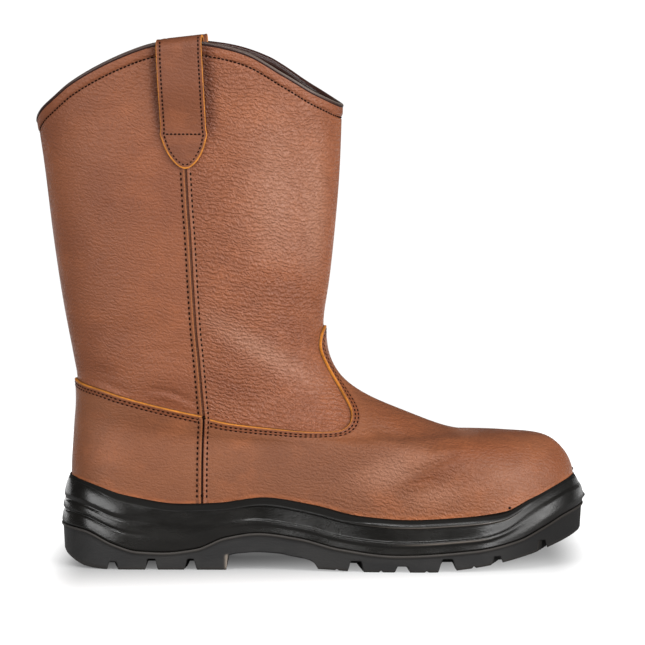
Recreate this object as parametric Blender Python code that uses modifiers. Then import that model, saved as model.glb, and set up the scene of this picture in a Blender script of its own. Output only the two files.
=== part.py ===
"""Rigger boot for the right foot, standing on its sole.

Every table is in millimetres. s runs along the boot from the back of the sole
to the toe, z runs up from the floor, and a side of -1 is the outer (lateral)
side, +1 the inner (medial) side. Meshes are made in metres, toe towards +X.
"""

import bmesh
import bpy
import numpy as np

MM = 0.001

# Main sizes
SOLE_LENGTH = 306.2
WALL = 2.5
GAP = 0.3
OVERLAY = 1.4
SEAM_STRIP = 0.9
COLLAR_RISE = 40.3
COLLAR_FRONT_LATERAL = 1.15
COLLAR_FRONT_MEDIAL = 0.98
COLLAR_BACK = 0.58
TOE_SWING = 9.0
SWING_START = 140.0
COLUMNS = 21

# Plan of the sole at its widest: half widths before the ends are rounded
PLAN_COLUMNS = ("s", "lateral", "medial")
PLAN = (
    (0.0, 38.0, 38.0),
    (40.0, 39.0, 39.0),
    (80.0, 39.5, 38.0),
    (115.0, 41.0, 36.5),
    (150.0, 46.0, 40.0),
    (185.0, 52.0, 47.0),
    (215.0, 54.5, 51.0),
    (245.0, 54.0, 51.5),
    (275.0, 51.0, 50.0),
    (306.2, 48.0, 48.0),
)
SOLE_NOSE = 66.0
SOLE_TAIL = 40.0
NOSE_POWER = 2.2
TAIL_POWER = 2.2

# Heights along the sole
FEATHER_COLUMNS = ("s", "z")
FEATHER = (
    (7.0, 52.6),
    (15.0, 50.4),
    (43.0, 42.5),
    (71.0, 38.5),
    (92.0, 39.1),
    (120.0, 42.4),
    (147.0, 38.8),
    (175.0, 32.6),
    (203.0, 30.5),
    (230.0, 31.6),
    (258.0, 34.8),
    (272.0, 41.1),
    (286.0, 46.8),
    (299.0, 52.0),
)
PARTING_COLUMNS = ("s", "z")
PARTING = (
    (0.0, 24.6),
    (14.7, 22.6),
    (32.0, 15.0),
    (46.0, 10.9),
    (61.0, 10.2),
    (80.0, 12.4),
    (97.0, 19.0),
    (116.0, 21.8),
    (140.0, 19.1),
    (163.0, 13.6),
    (196.0, 10.0),
    (240.0, 12.6),
    (266.0, 17.8),
    (281.0, 24.6),
    (294.0, 31.2),
    (306.2, 35.5),
)
FLOOR_COLUMNS = ("s", "z")
FLOOR = (
    (0.0, 31.0),
    (60.0, 30.0),
    (115.0, 28.0),
    (160.0, 22.5),
    (205.0, 20.0),
    (250.0, 21.5),
    (306.2, 28.0),
)
TRAY_COLUMNS = ("s", "z")
TRAY = (
    (0.0, 15.0),
    (32.0, 11.5),
    (46.0, 9.8),
    (61.0, 9.5),
    (80.0, 11.0),
    (97.0, 16.0),
    (116.0, 17.5),
    (140.0, 15.5),
    (163.0, 11.5),
    (196.0, 9.2),
    (240.0, 11.0),
    (266.0, 15.5),
    (281.0, 19.6),
    (306.2, 25.0),
)
GROUND_COLUMNS = ("s", "z")
GROUND = (
    (0.0, 7.5),
    (6.0, 3.2),
    (16.0, 0.0),
    (100.0, 0.0),
    (150.0, 1.2),
    (178.0, 0.0),
    (216.0, 0.0),
    (238.0, 2.0),
    (256.0, 5.0),
    (273.0, 9.0),
    (290.0, 14.5),
    (306.2, 20.5),
)

# Side of the midsole: share of the way up from the parting line to the rim,
# and how far each line stands in from the plan, at the heel and the forefoot
SIDE_COLUMNS = ("heel_up", "heel_in", "fore_up", "fore_in")
SIDE = (
    (0.05, 0.6, 0.05, 0.5),
    (0.15, 0.0, 0.20, 1.5),
    (0.25, 0.4, 0.36, 0.3),
    (0.30, 1.7, 0.44, 1.5),
    (0.36, 0.5, 0.60, 2.0),
    (0.43, 2.2, 0.80, 2.2),
    (0.70, 1.3, 0.88, 0.7),
    (0.90, 2.4, 0.96, 1.3),
)
HEEL_SIDE_END = 62.0
FORE_SIDE_START = 104.0
RIM_IN_HEEL = 4.5
RIM_IN_FORE = 3.4
EDGE_IN = 0.7
SHOULDER_IN = 2.6
ROOT_IN = 3.4

# Rings of the upper: front and back points, half width of the shaft, share of
# the foot plan in the width, inset from the plan, length of the rounded nose
# and tail, share of the feather line's wave, sag of the sides, share of the
# collar's rise
RING_COLUMNS = (
    "front_s", "front_z", "back_s", "back_z", "half", "foot",
    "inset", "nose", "tail", "wave", "sag", "rise",
)
RINGS = (
    (297.0, 27.5, 9.3, 31.0, 39.0, 1.00, 7.4, 61.0, 36.0, 1.00, 0.0, 0.00),
    (298.3, 51.8, 7.8, 53.5, 39.0, 1.00, 6.9, 62.0, 36.0, 1.00, 0.0, 0.00),
    (297.2, 58.2, 7.9, 61.0, 39.0, 1.00, 6.9, 64.0, 36.0, 0.82, 0.0, 0.00),
    (293.8, 65.6, 8.3, 68.0, 39.0, 1.00, 7.2, 70.0, 37.0, 0.55, 2.0, 0.00),
    (281.2, 75.0, 8.9, 76.0, 39.0, 1.00, 8.2, 88.0, 39.0, 0.25, 5.0, 0.00),
    (259.0, 76.8, 9.4, 83.0, 39.0, 0.90, 9.5, 110.0, 41.0, 0.08, 6.0, 0.00),
    (236.0, 76.7, 9.9, 89.0, 39.0, 0.75, 10.0, 125.0, 44.0, 0.00, 6.0, 0.00),
    (202.3, 87.0, 10.3, 95.0, 39.5, 0.55, 10.0, 130.0, 48.0, 0.00, 5.0, 0.00),
    (176.9, 97.6, 10.2, 103.0, 40.0, 0.35, 10.0, 115.0, 54.0, 0.00, 4.0, 0.00),
    (160.8, 110.4, 9.0, 113.0, 40.5, 0.20, 10.0, 95.0, 60.0, 0.00, 2.0, 0.00),
    (154.0, 127.0, 6.3, 128.0, 41.0, 0.08, 10.0, 82.0, 66.0, 0.00, 0.0, 0.00),
    (153.4, 143.0, 3.0, 145.0, 42.0, 0.00, 10.0, 78.0, 72.0, 0.00, 0.0, 0.00),
    (156.5, 162.0, -0.2, 164.0, 43.2, 0.00, 10.0, 80.0, 76.0, 0.00, 0.0, 0.00),
    (160.3, 197.0, -5.0, 198.0, 44.7, 0.00, 10.0, 84.0, 80.0, 0.00, 0.0, 0.10),
    (163.2, 232.0, -8.8, 231.0, 45.4, 0.00, 10.0, 87.0, 84.0, 0.00, 0.0, 0.42),
    (164.4, 266.6, -12.9, 257.5, 45.4, 0.00, 10.0, 89.0, 86.0, 0.00, 0.0, 1.00),
)
COLLAR = len(RINGS) - 1
UPPER_ROWS = (
    0.0, 0.5, 1.0, 2.0, 2.6, 3.2, 3.7, 4.3, 5.0, 5.6, 6.3, 7.0,
    7.5, 8.0, 8.5, 9.0, 9.5, 10.0, 10.6, 11.3, 12.2, 13.2, 14.2, 15.0,
)
CUP_ROWS = UPPER_ROWS[:3]
OVERLAY_ROWS = UPPER_ROWS[1:21]
SEAM_ROWS = UPPER_ROWS[7:23]

# Edges of the overlays in side view
EDGE_COLUMNS = ("s", "z")
VAMP_EDGE = (
    (153.8, 139.5),
    (151.6, 135.0),
    (151.6, 126.0),
    (155.8, 115.5),
    (161.3, 107.0),
    (167.2, 99.0),
    (171.6, 92.5),
    (172.8, 86.6),
    (170.6, 81.0),
    (164.0, 78.2),
    (146.0, 77.9),
    (128.0, 79.0),
    (111.0, 80.6),
    (97.0, 82.6),
    (86.0, 85.4),
)
COUNTER_EDGE = (
    (86.0, 87.3),
    (70.9, 90.4),
    (53.6, 94.4),
    (36.2, 99.8),
    (24.6, 104.0),
    (2.0, 109.5),
)
SEAM_LINE = (
    (85.4, 20.0),
    (85.4, 60.0),
    (86.2, 85.0),
    (84.6, 100.0),
    (81.8, 128.6),
    (79.0, 157.4),
    (76.7, 186.1),
    (75.1, 214.8),
    (73.6, 233.0),
    (71.2, 306.0),
)
OVERLAY_SPLIT = 0.6
STRIP_HALF = 3.6
STRIP_TOP = 229.0
STRIP_CLEAR = 2.5

# Pull loops
LOOP_TIP = 233.0
LOOP_SQUARE = 254.0
LOOP_HALF = 13.6
LOOP_TIP_HALF = 2.0
LOOP_THICK = 1.6
LOOP_OFF = 5.2
LOOP_OFF_START = 252.0
LOOP_OFF_FULL = 284.0
LOOP_TURN = 301.0
LOOP_INSIDE_END = 256.0
LOOP_INSIDE_OFF = 3.4

BINDING_RADIUS = 1.1
INSOLE_THICK = 4.5
INSOLE_IN = 3.6

# Underside: arch in side view, then side channels of the tread
ARCH_COLUMNS = ("s", "z")
ARCH = (
    (97.5, -2.0),
    (99.5, 6.0),
    (104.0, 10.2),
    (118.0, 11.8),
    (133.0, 10.9),
    (143.0, 8.8),
    (148.0, 5.0),
    (150.5, -2.0),
)
CHANNEL_COLUMNS = ("s", "low_half", "top_half", "top_z", "slant", "reach")
CHANNELS = (
    (32.0, 3.4, 2.2, 4.6, -5.0, 17.0),
    (54.1, 3.8, 2.3, 6.5, 0.0, 19.0),
    (76.6, 4.0, 1.9, 6.5, 3.0, 19.0),
    (172.8, 4.8, 3.2, 6.5, -6.0, 27.0),
    (199.5, 4.8, 2.9, 3.7, -3.0, 28.0),
    (225.3, 5.6, 3.0, 8.0, 0.0, 28.0),
    (253.6, 4.6, 2.0, 9.2, 5.0, 25.0),
    (279.4, 3.2, 2.4, 17.0, 12.0, 17.0),
)


def table(columns, rows):
    """Columns of a table by name."""
    return dict(zip(columns, np.array(rows, dtype=float).T))


def smooth(x, xs, ys):
    """Monotone cubic through the points of a table, flat beyond its ends."""
    x = np.asarray(x, dtype=float)
    step = np.diff(xs)
    rate = np.diff(ys) / step
    slope = np.zeros(len(xs))
    same = rate[:-1] * rate[1:] > 0
    safe = np.where(same, rate[:-1] + rate[1:], 1.0)
    slope[1:-1] = np.where(same, 2.0 * rate[:-1] * rate[1:] / safe, 0.0)
    slope[0] = rate[0]
    slope[-1] = rate[-1]
    x = np.clip(x, xs[0], xs[-1])
    k = np.clip(np.searchsorted(xs, x, side="right") - 1, 0, len(xs) - 2)
    u = (x - xs[k]) / step[k]
    rise = ys[k + 1] - ys[k]
    low = slope[k] * step[k]
    high = slope[k + 1] * step[k]
    return ys[k] + u * (low + u * (3 * rise - 2 * low - high + u * (low + high - 2 * rise)))


def ease(x, low, high):
    """Smooth step from 0 at low to 1 at high."""
    u = np.clip((x - low) / (high - low), 0.0, 1.0)
    return u * u * (3 - 2 * u)


PLAN_T = table(PLAN_COLUMNS, PLAN)
RING_T = table(RING_COLUMNS, RINGS)
SIDE_T = table(SIDE_COLUMNS, SIDE)
RING_INDEX = np.arange(len(RINGS), dtype=float)


def along(rows, s):
    """Height of a line of the sole at station s."""
    line = table(("s", "z"), rows)
    return smooth(s, line["s"], line["z"])


def plan_half(s, side):
    """Half width of the sole plan at station s, before the ends are rounded."""
    lateral = smooth(s, PLAN_T["s"], PLAN_T["lateral"])
    medial = smooth(s, PLAN_T["s"], PLAN_T["medial"])
    return np.where(side < 0, lateral, medial)


def centre(s):
    """Sideways bend of the boot's centre line towards the inner side."""
    return TOE_SWING * np.clip((s - SWING_START) / (SOLE_LENGTH - SWING_START), 0.0, 1.0) ** 2


def rounded(distance, length, power):
    """Superellipse end: 0 at the tip, 1 beyond the rounded length."""
    u = 1.0 - np.clip(distance / length, 0.0, 1.0)
    return (1.0 - u ** power) ** (1.0 / power)


def sole_ring(angle, inward):
    """Plan of the sole moved inward, as (s, y) at each angle (0 toe, pi heel)."""
    t = (1.0 - np.cos(angle)) / 2.0
    side = np.sign(np.sin(angle))
    s = SOLE_LENGTH - inward + (2.0 * inward - SOLE_LENGTH) * t
    ends = rounded(SOLE_LENGTH - inward - s, SOLE_NOSE - inward * 0.5, NOSE_POWER)
    ends = ends * rounded(s - inward, SOLE_TAIL - inward * 0.5, TAIL_POWER)
    return s, centre(s) + side * (plan_half(s, side) - inward) * ends


def collar_wave(t, side):
    """Rise of the collar's sides over its front and back dips, 0 to 1."""
    front = np.where(side < 0, COLLAR_FRONT_LATERAL, COLLAR_FRONT_MEDIAL)
    power = front + (COLLAR_BACK - front) * t
    return np.clip(np.sin(np.pi * t), 0.0, 1.0) ** power


def upper_skin(v, angle):
    """Outer face of the upper at ring v and angle (0 front, pi back), in mm."""
    v, angle = np.broadcast_arrays(np.asarray(v, float), np.asarray(angle, float))
    ring = {}
    for name in RING_COLUMNS:
        ring[name] = smooth(v, RING_INDEX, RING_T[name])
    t = (1.0 - np.cos(angle)) / 2.0
    side = np.sign(np.sin(angle))
    s = ring["front_s"] + (ring["back_s"] - ring["front_s"]) * t
    ends = rounded(ring["front_s"] - s, ring["nose"], NOSE_POWER)
    ends = ends * rounded(s - ring["back_s"], ring["tail"], TAIL_POWER)
    foot = plan_half(s, side) - ring["inset"]
    half = ring["half"] + (foot - ring["half"]) * ring["foot"]
    y = centre(s) + side * half * ends
    feather = along(FEATHER, s)
    first = RINGS[1]
    chord = first[1] + (first[3] - first[1]) * t
    z = ring["front_z"] + (ring["back_z"] - ring["front_z"]) * t
    z = z + ring["wave"] * (feather - chord) - ring["sag"] * np.sin(np.pi * t)
    z = z + ring["rise"] * COLLAR_RISE * collar_wave(t, side)
    seat = along(FLOOR, s) + GAP
    z = np.where(v < 1.0, seat + (feather - seat) * v, z)
    return np.stack([s, y, z], axis=-1)


def upper_normal(v, angle):
    """Outward unit normal of the upper's outer face."""
    step = 0.01
    low = np.clip(v - step, 0.0, COLLAR)
    high = np.clip(v + step, 0.0, COLLAR)
    up = upper_skin(high, angle) - upper_skin(low, angle)
    around = upper_skin(v, angle + step) - upper_skin(v, angle - step)
    normal = np.cross(around, up)
    return normal / np.linalg.norm(normal, axis=-1, keepdims=True)


def upper_offset(v, angle, out):
    """Point of the upper's outer face moved out along its normal."""
    return upper_skin(v, angle) + out * upper_normal(v, angle)


def skin_at(s, z, side):
    """Distance from the centre plane to the upper's side at (s, z)."""
    s, z = np.broadcast_arrays(np.asarray(s, float), np.asarray(z, float))
    v = np.full(s.shape, 13.0)
    angle = np.full(s.shape, 1.6)
    for _ in range(25):
        here = upper_skin(v, side * angle)
        by_v = (upper_skin(v + 0.01, side * angle) - here) / 0.01
        by_a = (upper_skin(v, side * (angle + 0.01)) - here) / 0.01
        ds = s - here[..., 0]
        dz = z - here[..., 2]
        det = by_v[..., 0] * by_a[..., 2] - by_v[..., 2] * by_a[..., 0]
        step_v = (ds * by_a[..., 2] - dz * by_a[..., 0]) / det
        step_a = (dz * by_v[..., 0] - ds * by_v[..., 2]) / det
        v = np.clip(v + np.clip(step_v, -0.7, 0.7), 1.0, COLLAR - 0.02)
        angle = np.clip(angle + np.clip(step_a, -0.3, 0.3), 0.05, 3.09)
    return np.abs(upper_skin(v, side * angle)[..., 1])


ANGLES = np.concatenate([
    -np.linspace(0.0, np.pi, COLUMNS + 1),
    np.linspace(np.pi, 0.0, COLUMNS + 1)[1:-1],
])
SOLE_S, SOLE_Y = sole_ring(ANGLES, 0.0)
MID_S = (SOLE_LENGTH + RINGS[-1][2]) / 2.0
MID_Y = (SOLE_Y.max() + SOLE_Y.min()) / 2.0


def placed(points):
    """Millimetre points of the tables in the boot's frame, in metres."""
    points = np.asarray(points, float)
    return (points - np.array([MID_S, MID_Y, 0.0])) * MM


def material(name, colour, roughness):
    made = bpy.data.materials.new(name)
    made.use_nodes = True
    shader = made.node_tree.nodes["Principled BSDF"]
    shader.inputs["Base Color"].default_value = (*colour, 1.0)
    shader.inputs["Roughness"].default_value = roughness
    return made


def collection(name):
    made = bpy.data.collections.new(name)
    bpy.context.scene.collection.children.link(made)
    return made


def mesh_object(name, bm, home, look=None):
    """Object from a bmesh, faces turned outward."""
    bmesh.ops.recalc_face_normals(bm, faces=bm.faces[:])
    mesh = bpy.data.meshes.new(name)
    bm.to_mesh(mesh)
    bm.free()
    made = bpy.data.objects.new(name, mesh)
    home.objects.link(made)
    if look is not None:
        mesh.materials.append(look)
    return made


def loft(name, loops, home, look, caps):
    """Skin over closed loops of equal count; caps are ladders across the loop."""
    bm = bmesh.new()
    rings = []
    for loop in loops:
        ring = [bm.verts.new(p) for p in placed(loop)]
        rings.append(ring)
    count = len(rings[0])
    for low, high in zip(rings, rings[1:]):
        for k in range(count):
            j = (k + 1) % count
            bm.faces.new((low[k], low[j], high[j], high[k]))
    for ring in ((rings[0], rings[-1]) if caps else ()):
        for k in range(count // 2):
            corners = [ring[k], ring[k + 1], ring[count - k - 1], ring[-k % count]]
            bm.faces.new(list(dict.fromkeys(corners)))
    return mesh_object(name, bm, home, look)


def prism(name, outline, low_y, high_y):
    """Cutter: a side view outline drawn across from low_y to high_y."""
    bm = bmesh.new()
    face = bm.faces.new([bm.verts.new(p) for p in placed([(s, low_y, z) for s, z in outline])])
    drawn = bmesh.ops.extrude_face_region(bm, geom=[face])
    for item in drawn["geom"]:
        if isinstance(item, bmesh.types.BMVert):
            item.co.y += (high_y - low_y) * MM
    return hide(mesh_object(name, bm, CUTTERS))


def hide(cutter):
    cutter.hide_render = True
    cutter.display_type = "WIRE"
    return cutter


def boolean(target, cutter, operation):
    cut = target.modifiers.new("cut", "BOOLEAN")
    cut.operation = operation
    cut.solver = "EXACT"
    cut.object = cutter
    return target


def shell(target, thickness, outward):
    """Solid wall from an open surface."""
    wall = target.modifiers.new("wall", "SOLIDIFY")
    wall.thickness = thickness * MM
    wall.offset = 1.0 if outward else -1.0
    wall.use_even_offset = True
    return target


def curve(points, parts):
    """Smooth open line through the points of an edge table."""
    points = np.array(points, float)
    ends = np.vstack([2 * points[0] - points[1], points, 2 * points[-1] - points[-2]])
    line = []
    for k in range(1, len(ends) - 2):
        before, here, there, after = ends[k - 1:k + 3]
        for u in np.linspace(0.0, 1.0, parts, endpoint=False):
            bend = (2 * before - 5 * here + 4 * there - after) * u * u
            twist = (3 * here - before - 3 * there + after) * u ** 3
            line.append(0.5 * (2 * here + (there - before) * u + bend + twist))
    line.append(points[-1])
    return line


def seam_s(z):
    """Station of the side seam at height z."""
    line = np.array(SEAM_LINE)
    return smooth(z, line[:, 1], line[:, 0])


def build_upper(home, look):
    loops = [upper_skin(np.full(ANGLES.shape, v), ANGLES) for v in UPPER_ROWS]
    return shell(loft("upper", loops, home, look, False), WALL, False)


def overlay(name, rows, thickness, home, look):
    """Skin a little off the upper, still to be cut to its outline."""
    loops = [upper_offset(np.full(ANGLES.shape, v), ANGLES, GAP) for v in rows]
    return shell(loft(name, loops, home, look, False), thickness, True)


def build_vamp(home, look):
    made = overlay("vamp", OVERLAY_ROWS, OVERLAY, home, look)
    edge = curve(VAMP_EDGE, 3)
    half = OVERLAY_SPLIT / 2.0
    heights = (80.0, 60.0, 10.0)
    back = [(seam_s(85.0) + half, edge[-1][1])] + [(seam_s(z) + half, z) for z in heights]
    front = [(330.0, 10.0), (330.0, edge[0][1])]
    cutter = prism("vamp_outline", [tuple(p) for p in edge[:-1]] + back + front, -90.0, 90.0)
    return boolean(made, cutter, "INTERSECT")


def build_counter(home, look):
    made = overlay("counter", OVERLAY_ROWS, OVERLAY, home, look)
    edge = curve(COUNTER_EDGE, 3)
    half = OVERLAY_SPLIT / 2.0
    heights = (10.0, 60.0, 80.0)
    front = [(seam_s(z) - half, z) for z in heights] + [(seam_s(85.0) - half, edge[0][1])]
    back = [(-20.0, 109.5), (-20.0, 10.0)]
    cutter = prism("counter_outline", front + [tuple(p) for p in edge[1:]] + back, -90.0, 90.0)
    return boolean(made, cutter, "INTERSECT")


def build_seam(name, side, home, look):
    made = overlay(name, SEAM_ROWS, SEAM_STRIP, home, look)
    low = COUNTER_EDGE[0][1] + STRIP_CLEAR
    heights = np.linspace(low, STRIP_TOP, 9)
    front = [(seam_s(z) + STRIP_HALF, z) for z in heights]
    back = [(seam_s(z) - STRIP_HALF, z) for z in heights[::-1]]
    reach = (-90.0, 0.0) if side < 0 else (0.0, 90.0)
    return boolean(made, prism(name + "_outline", front + back, *reach), "INTERSECT")


def build_binding(home, look):
    """Round bead along the top of the wall."""
    line = upper_offset(np.full(ANGLES.shape, float(COLLAR)), ANGLES, -WALL / 2.0)
    line[:, 2] += GAP + BINDING_RADIUS
    path = bpy.data.curves.new("collar_binding", "CURVE")
    path.dimensions = "3D"
    path.bevel_depth = BINDING_RADIUS * MM
    path.bevel_resolution = 1
    path.resolution_u = 1
    spline = path.splines.new("POLY")
    spline.points.add(len(line) - 1)
    for point, place in zip(spline.points, placed(line)):
        point.co = (*place, 1.0)
    spline.use_cyclic_u = True
    path.materials.append(look)
    made = bpy.data.objects.new("collar_binding", path)
    home.objects.link(made)
    return made


def loop_rows():
    """Runs of the pull loop: height on the wall, own height, way off the wall, half width."""
    rise = np.concatenate([np.linspace(LOOP_TIP, LOOP_SQUARE, 5), np.linspace(262.0, LOOP_TURN, 6)])
    rows = []
    for z in rise:
        off = GAP + LOOP_OFF * ease(z, LOOP_OFF_START, LOOP_OFF_FULL)
        u = min((z - LOOP_TIP) / (LOOP_SQUARE - LOOP_TIP), 1.0)
        half = LOOP_TIP_HALF + (LOOP_HALF - LOOP_TIP_HALF) * np.sqrt(u * (2.0 - u))
        rows.append((z, z, off, half))
    outer = GAP + LOOP_OFF
    inner = -WALL - LOOP_INSIDE_OFF
    middle = (outer + inner) / 2.0
    radius = (outer - inner) / 2.0
    for turn in np.linspace(0.0, np.pi, 7)[1:-1]:
        lift = radius * np.sin(turn)
        rows.append((LOOP_TURN, LOOP_TURN + lift, middle + radius * np.cos(turn), LOOP_HALF))
    for z in np.linspace(LOOP_TURN, LOOP_INSIDE_END, 6):
        off = -WALL - GAP - (LOOP_INSIDE_OFF - GAP) * ease(z, 262.0, 292.0)
        rows.append((z, z, off, LOOP_HALF))
    return rows


def build_loop(name, side, home, look):
    """Strap up the outside, over the collar and down the inside."""
    across = np.linspace(-1.0, 1.0, 5)
    bm = bmesh.new()
    runs = []
    for ref_z, z, off, half in loop_rows():
        s = seam_s(ref_z) + half * across
        y = side * (skin_at(s, np.full(s.shape, min(ref_z, 296.0)), side) + off)
        points = np.stack([s, y, np.full(s.shape, z)], axis=-1)
        runs.append([bm.verts.new(p) for p in placed(points)])
    for low, high in zip(runs, runs[1:]):
        for k in range(len(across) - 1):
            corners = (low[k], low[k + 1], high[k + 1], high[k])
            bm.faces.new(corners if side < 0 else corners[::-1])
    mesh = bpy.data.meshes.new(name)
    bm.to_mesh(mesh)
    bm.free()
    mesh.materials.append(look)
    made = bpy.data.objects.new(name, mesh)
    home.objects.link(made)
    return shell(made, LOOP_THICK, True)


def sole_loop(inward, height):
    """Loop around the sole at a plan inset and a height by station."""
    s, y = sole_ring(ANGLES, inward)
    return np.stack([s, y, height(s)], axis=-1)


def fore_share():
    """Share of the forefoot's side lines at each angle, 0 at the heel."""
    t = (1.0 - np.cos(ANGLES)) / 2.0
    return ease(SOLE_LENGTH * (1.0 - t), HEEL_SIDE_END, FORE_SIDE_START)


def side_loop(k):
    """Line k of the midsole's side, blended from heel to forefoot."""
    share = fore_share()
    up = SIDE_T["heel_up"][k] + (SIDE_T["fore_up"][k] - SIDE_T["heel_up"][k]) * share
    inward = SIDE_T["heel_in"][k] + (SIDE_T["fore_in"][k] - SIDE_T["heel_in"][k]) * share
    s, y = sole_ring(ANGLES, inward)
    low = along(PARTING, s) + GAP
    return np.stack([s, y, low + (along(FEATHER, s) - low) * up], axis=-1)


def build_midsole(home, look):
    loops = [
        sole_loop(ROOT_IN + GAP, lambda s: along(TRAY, s) + GAP),
        sole_loop(SHOULDER_IN + GAP, lambda s: along(PARTING, s) + GAP),
        sole_loop(EDGE_IN, lambda s: along(PARTING, s) + GAP),
    ]
    loops.extend(side_loop(k) for k in range(len(SIDE)))
    rim = RIM_IN_HEEL + (RIM_IN_FORE - RIM_IN_HEEL) * fore_share()
    loops.append(sole_loop(rim, lambda s: along(FEATHER, s) + 0.2))
    for v in CUP_ROWS[::-1]:
        loop = upper_offset(np.full(ANGLES.shape, v), ANGLES, OVERLAY + 2.0 * GAP)
        loop[:, 2] = upper_skin(np.full(ANGLES.shape, v), ANGLES)[:, 2]
        loop[:, 2] -= GAP * (1.0 - v)
        loops.append(loop)
    return loft("midsole", loops, home, look, True)


def build_outsole(home, look):
    loops = [
        sole_loop(ROOT_IN, lambda s: along(TRAY, s)),
        sole_loop(SHOULDER_IN, lambda s: along(PARTING, s)),
        sole_loop(0.2, lambda s: along(PARTING, s)),
        sole_loop(0.2, lambda s: along(PARTING, s) - 1.2),
        sole_loop(1.0, lambda s: along(PARTING, s) - 2.0),
        sole_loop(1.4, lambda s: along(GROUND, s) + 2.5),
        sole_loop(3.4, lambda s: along(GROUND, s)),
    ]
    made = loft("outsole", loops, home, look, True)
    boolean(made, prism("arch", [tuple(p) for p in curve(ARCH, 3)], -90.0, 90.0), "DIFFERENCE")
    for k, row in enumerate(CHANNELS):
        cut = dict(zip(CHANNEL_COLUMNS, row))
        for side in (-1.0, 1.0):
            boolean(made, channel("channel_%d_%d" % (k, side > 0), cut, side), "DIFFERENCE")
    return made


def channel(name, cut, side):
    """Cutter for one tread channel: tapered bar from the side towards the middle."""
    bm = bmesh.new()
    low = -1.0
    rows = []
    half = plan_half(np.array(cut["s"]), np.array(side)) - cut["reach"]
    inner = float(centre(np.array(cut["s"])) + side * half)
    for y, shift in ((inner, cut["slant"]), (side * 80.0, 0.0)):
        s = cut["s"] + shift
        profile = [
            (s - cut["low_half"], y, low),
            (s + cut["low_half"], y, low),
            (s + cut["top_half"], y, cut["top_z"]),
            (s - cut["top_half"], y, cut["top_z"]),
        ]
        rows.append([bm.verts.new(p) for p in placed(profile)])
    for k in range(4):
        j = (k + 1) % 4
        bm.faces.new((rows[0][k], rows[0][j], rows[1][j], rows[1][k]))
    bm.faces.new(rows[0])
    bm.faces.new(rows[1])
    return hide(mesh_object(name, bm, CUTTERS))


def build_insole(home, look):
    """Footbed lying in the cup, inside the upper's wall."""
    loops = []
    for inward, lift in ((0.6, GAP), (0.0, 1.0), (0.0, INSOLE_THICK - 0.8), (0.8, INSOLE_THICK)):
        loop = upper_offset(np.zeros(ANGLES.shape), ANGLES, -INSOLE_IN - inward)
        loop[:, 2] = along(FLOOR, loop[:, 0]) + lift
        loops.append(loop)
    return loft("insole", loops, home, look, True)


for old in list(bpy.data.objects):
    bpy.data.objects.remove(old, do_unlink=True)
BOOT = collection("rigger_boot")
CUTTERS = collection("cutters")
LEATHER = material("tan_leather", (0.33, 0.12, 0.06), 0.55)
OVERLAY_LEATHER = material("overlay_leather", (0.31, 0.11, 0.055), 0.5)
STRAP = material("strap_leather", (0.30, 0.12, 0.06), 0.55)
TRIM = material("dark_binding", (0.06, 0.025, 0.018), 0.6)
BLACK = material("midsole_rubber", (0.02, 0.02, 0.02), 0.45)
GREY = material("outsole_rubber", (0.045, 0.043, 0.043), 0.75)
FELT = material("insole_fabric", (0.07, 0.055, 0.05), 0.9)

build_outsole(BOOT, GREY)
build_midsole(BOOT, BLACK)
build_insole(BOOT, FELT)
build_upper(BOOT, LEATHER)
build_vamp(BOOT, OVERLAY_LEATHER)
build_counter(BOOT, OVERLAY_LEATHER)
build_seam("side_seam_lateral", -1.0, BOOT, OVERLAY_LEATHER)
build_seam("side_seam_medial", 1.0, BOOT, OVERLAY_LEATHER)
build_binding(BOOT, TRIM)
build_loop("pull_loop_lateral", -1.0, BOOT, STRAP)
build_loop("pull_loop_medial", 1.0, BOOT, STRAP)
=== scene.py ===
"""Looks of a rigger boot for the right foot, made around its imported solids.

Tables are in millimetres: s runs from the back of the sole to the toe, z up
from the floor, and a side of -1 is the outer, +1 the inner side of the boot.
"""

import bmesh
import bpy
import numpy as np
from mathutils import Matrix, Vector


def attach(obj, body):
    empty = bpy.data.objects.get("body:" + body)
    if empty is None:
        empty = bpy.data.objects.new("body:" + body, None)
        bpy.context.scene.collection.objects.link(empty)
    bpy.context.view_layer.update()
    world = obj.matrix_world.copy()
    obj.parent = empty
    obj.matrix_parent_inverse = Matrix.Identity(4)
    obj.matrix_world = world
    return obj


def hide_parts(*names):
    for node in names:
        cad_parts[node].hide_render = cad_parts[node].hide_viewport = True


for stray in ("Cube", "Light", "Camera"):
    if stray in bpy.data.objects:
        bpy.data.objects.remove(bpy.data.objects[stray], do_unlink=True)
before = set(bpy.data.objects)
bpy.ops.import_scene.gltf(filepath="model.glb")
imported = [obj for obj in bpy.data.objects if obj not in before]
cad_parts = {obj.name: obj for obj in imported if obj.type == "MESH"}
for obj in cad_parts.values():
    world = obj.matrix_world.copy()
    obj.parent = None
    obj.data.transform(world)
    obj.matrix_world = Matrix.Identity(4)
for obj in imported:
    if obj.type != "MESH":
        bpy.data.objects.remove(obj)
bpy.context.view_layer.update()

# Sole in plan: length, rounding of both ends, swing of the toe, gap between the two bodies
SOLE_LENGTH = 306.2
SOLE_NOSE = 66.0
SOLE_TAIL = 40.0
END_POWER = 2.2
TOE_SWING = 9.0
SWING_START = 140.0
GAP = 0.3

# Leather: thickness of wall and overlays, depth of the puffed band, ring of its hidden foot
WALL = 1.9
OVERLAY = 1.75
BAND = 6.3
FOOT_RING = 0.6

# Collar: height of its wave, the powers that shape it, and the ring just below the edge
COLLAR_RISE = 40.3
COLLAR_FRONT_LATERAL = 1.15
COLLAR_FRONT_MEDIAL = 0.98
COLLAR_BACK = 0.58
COLLAR_NEAR = 14.95

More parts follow.
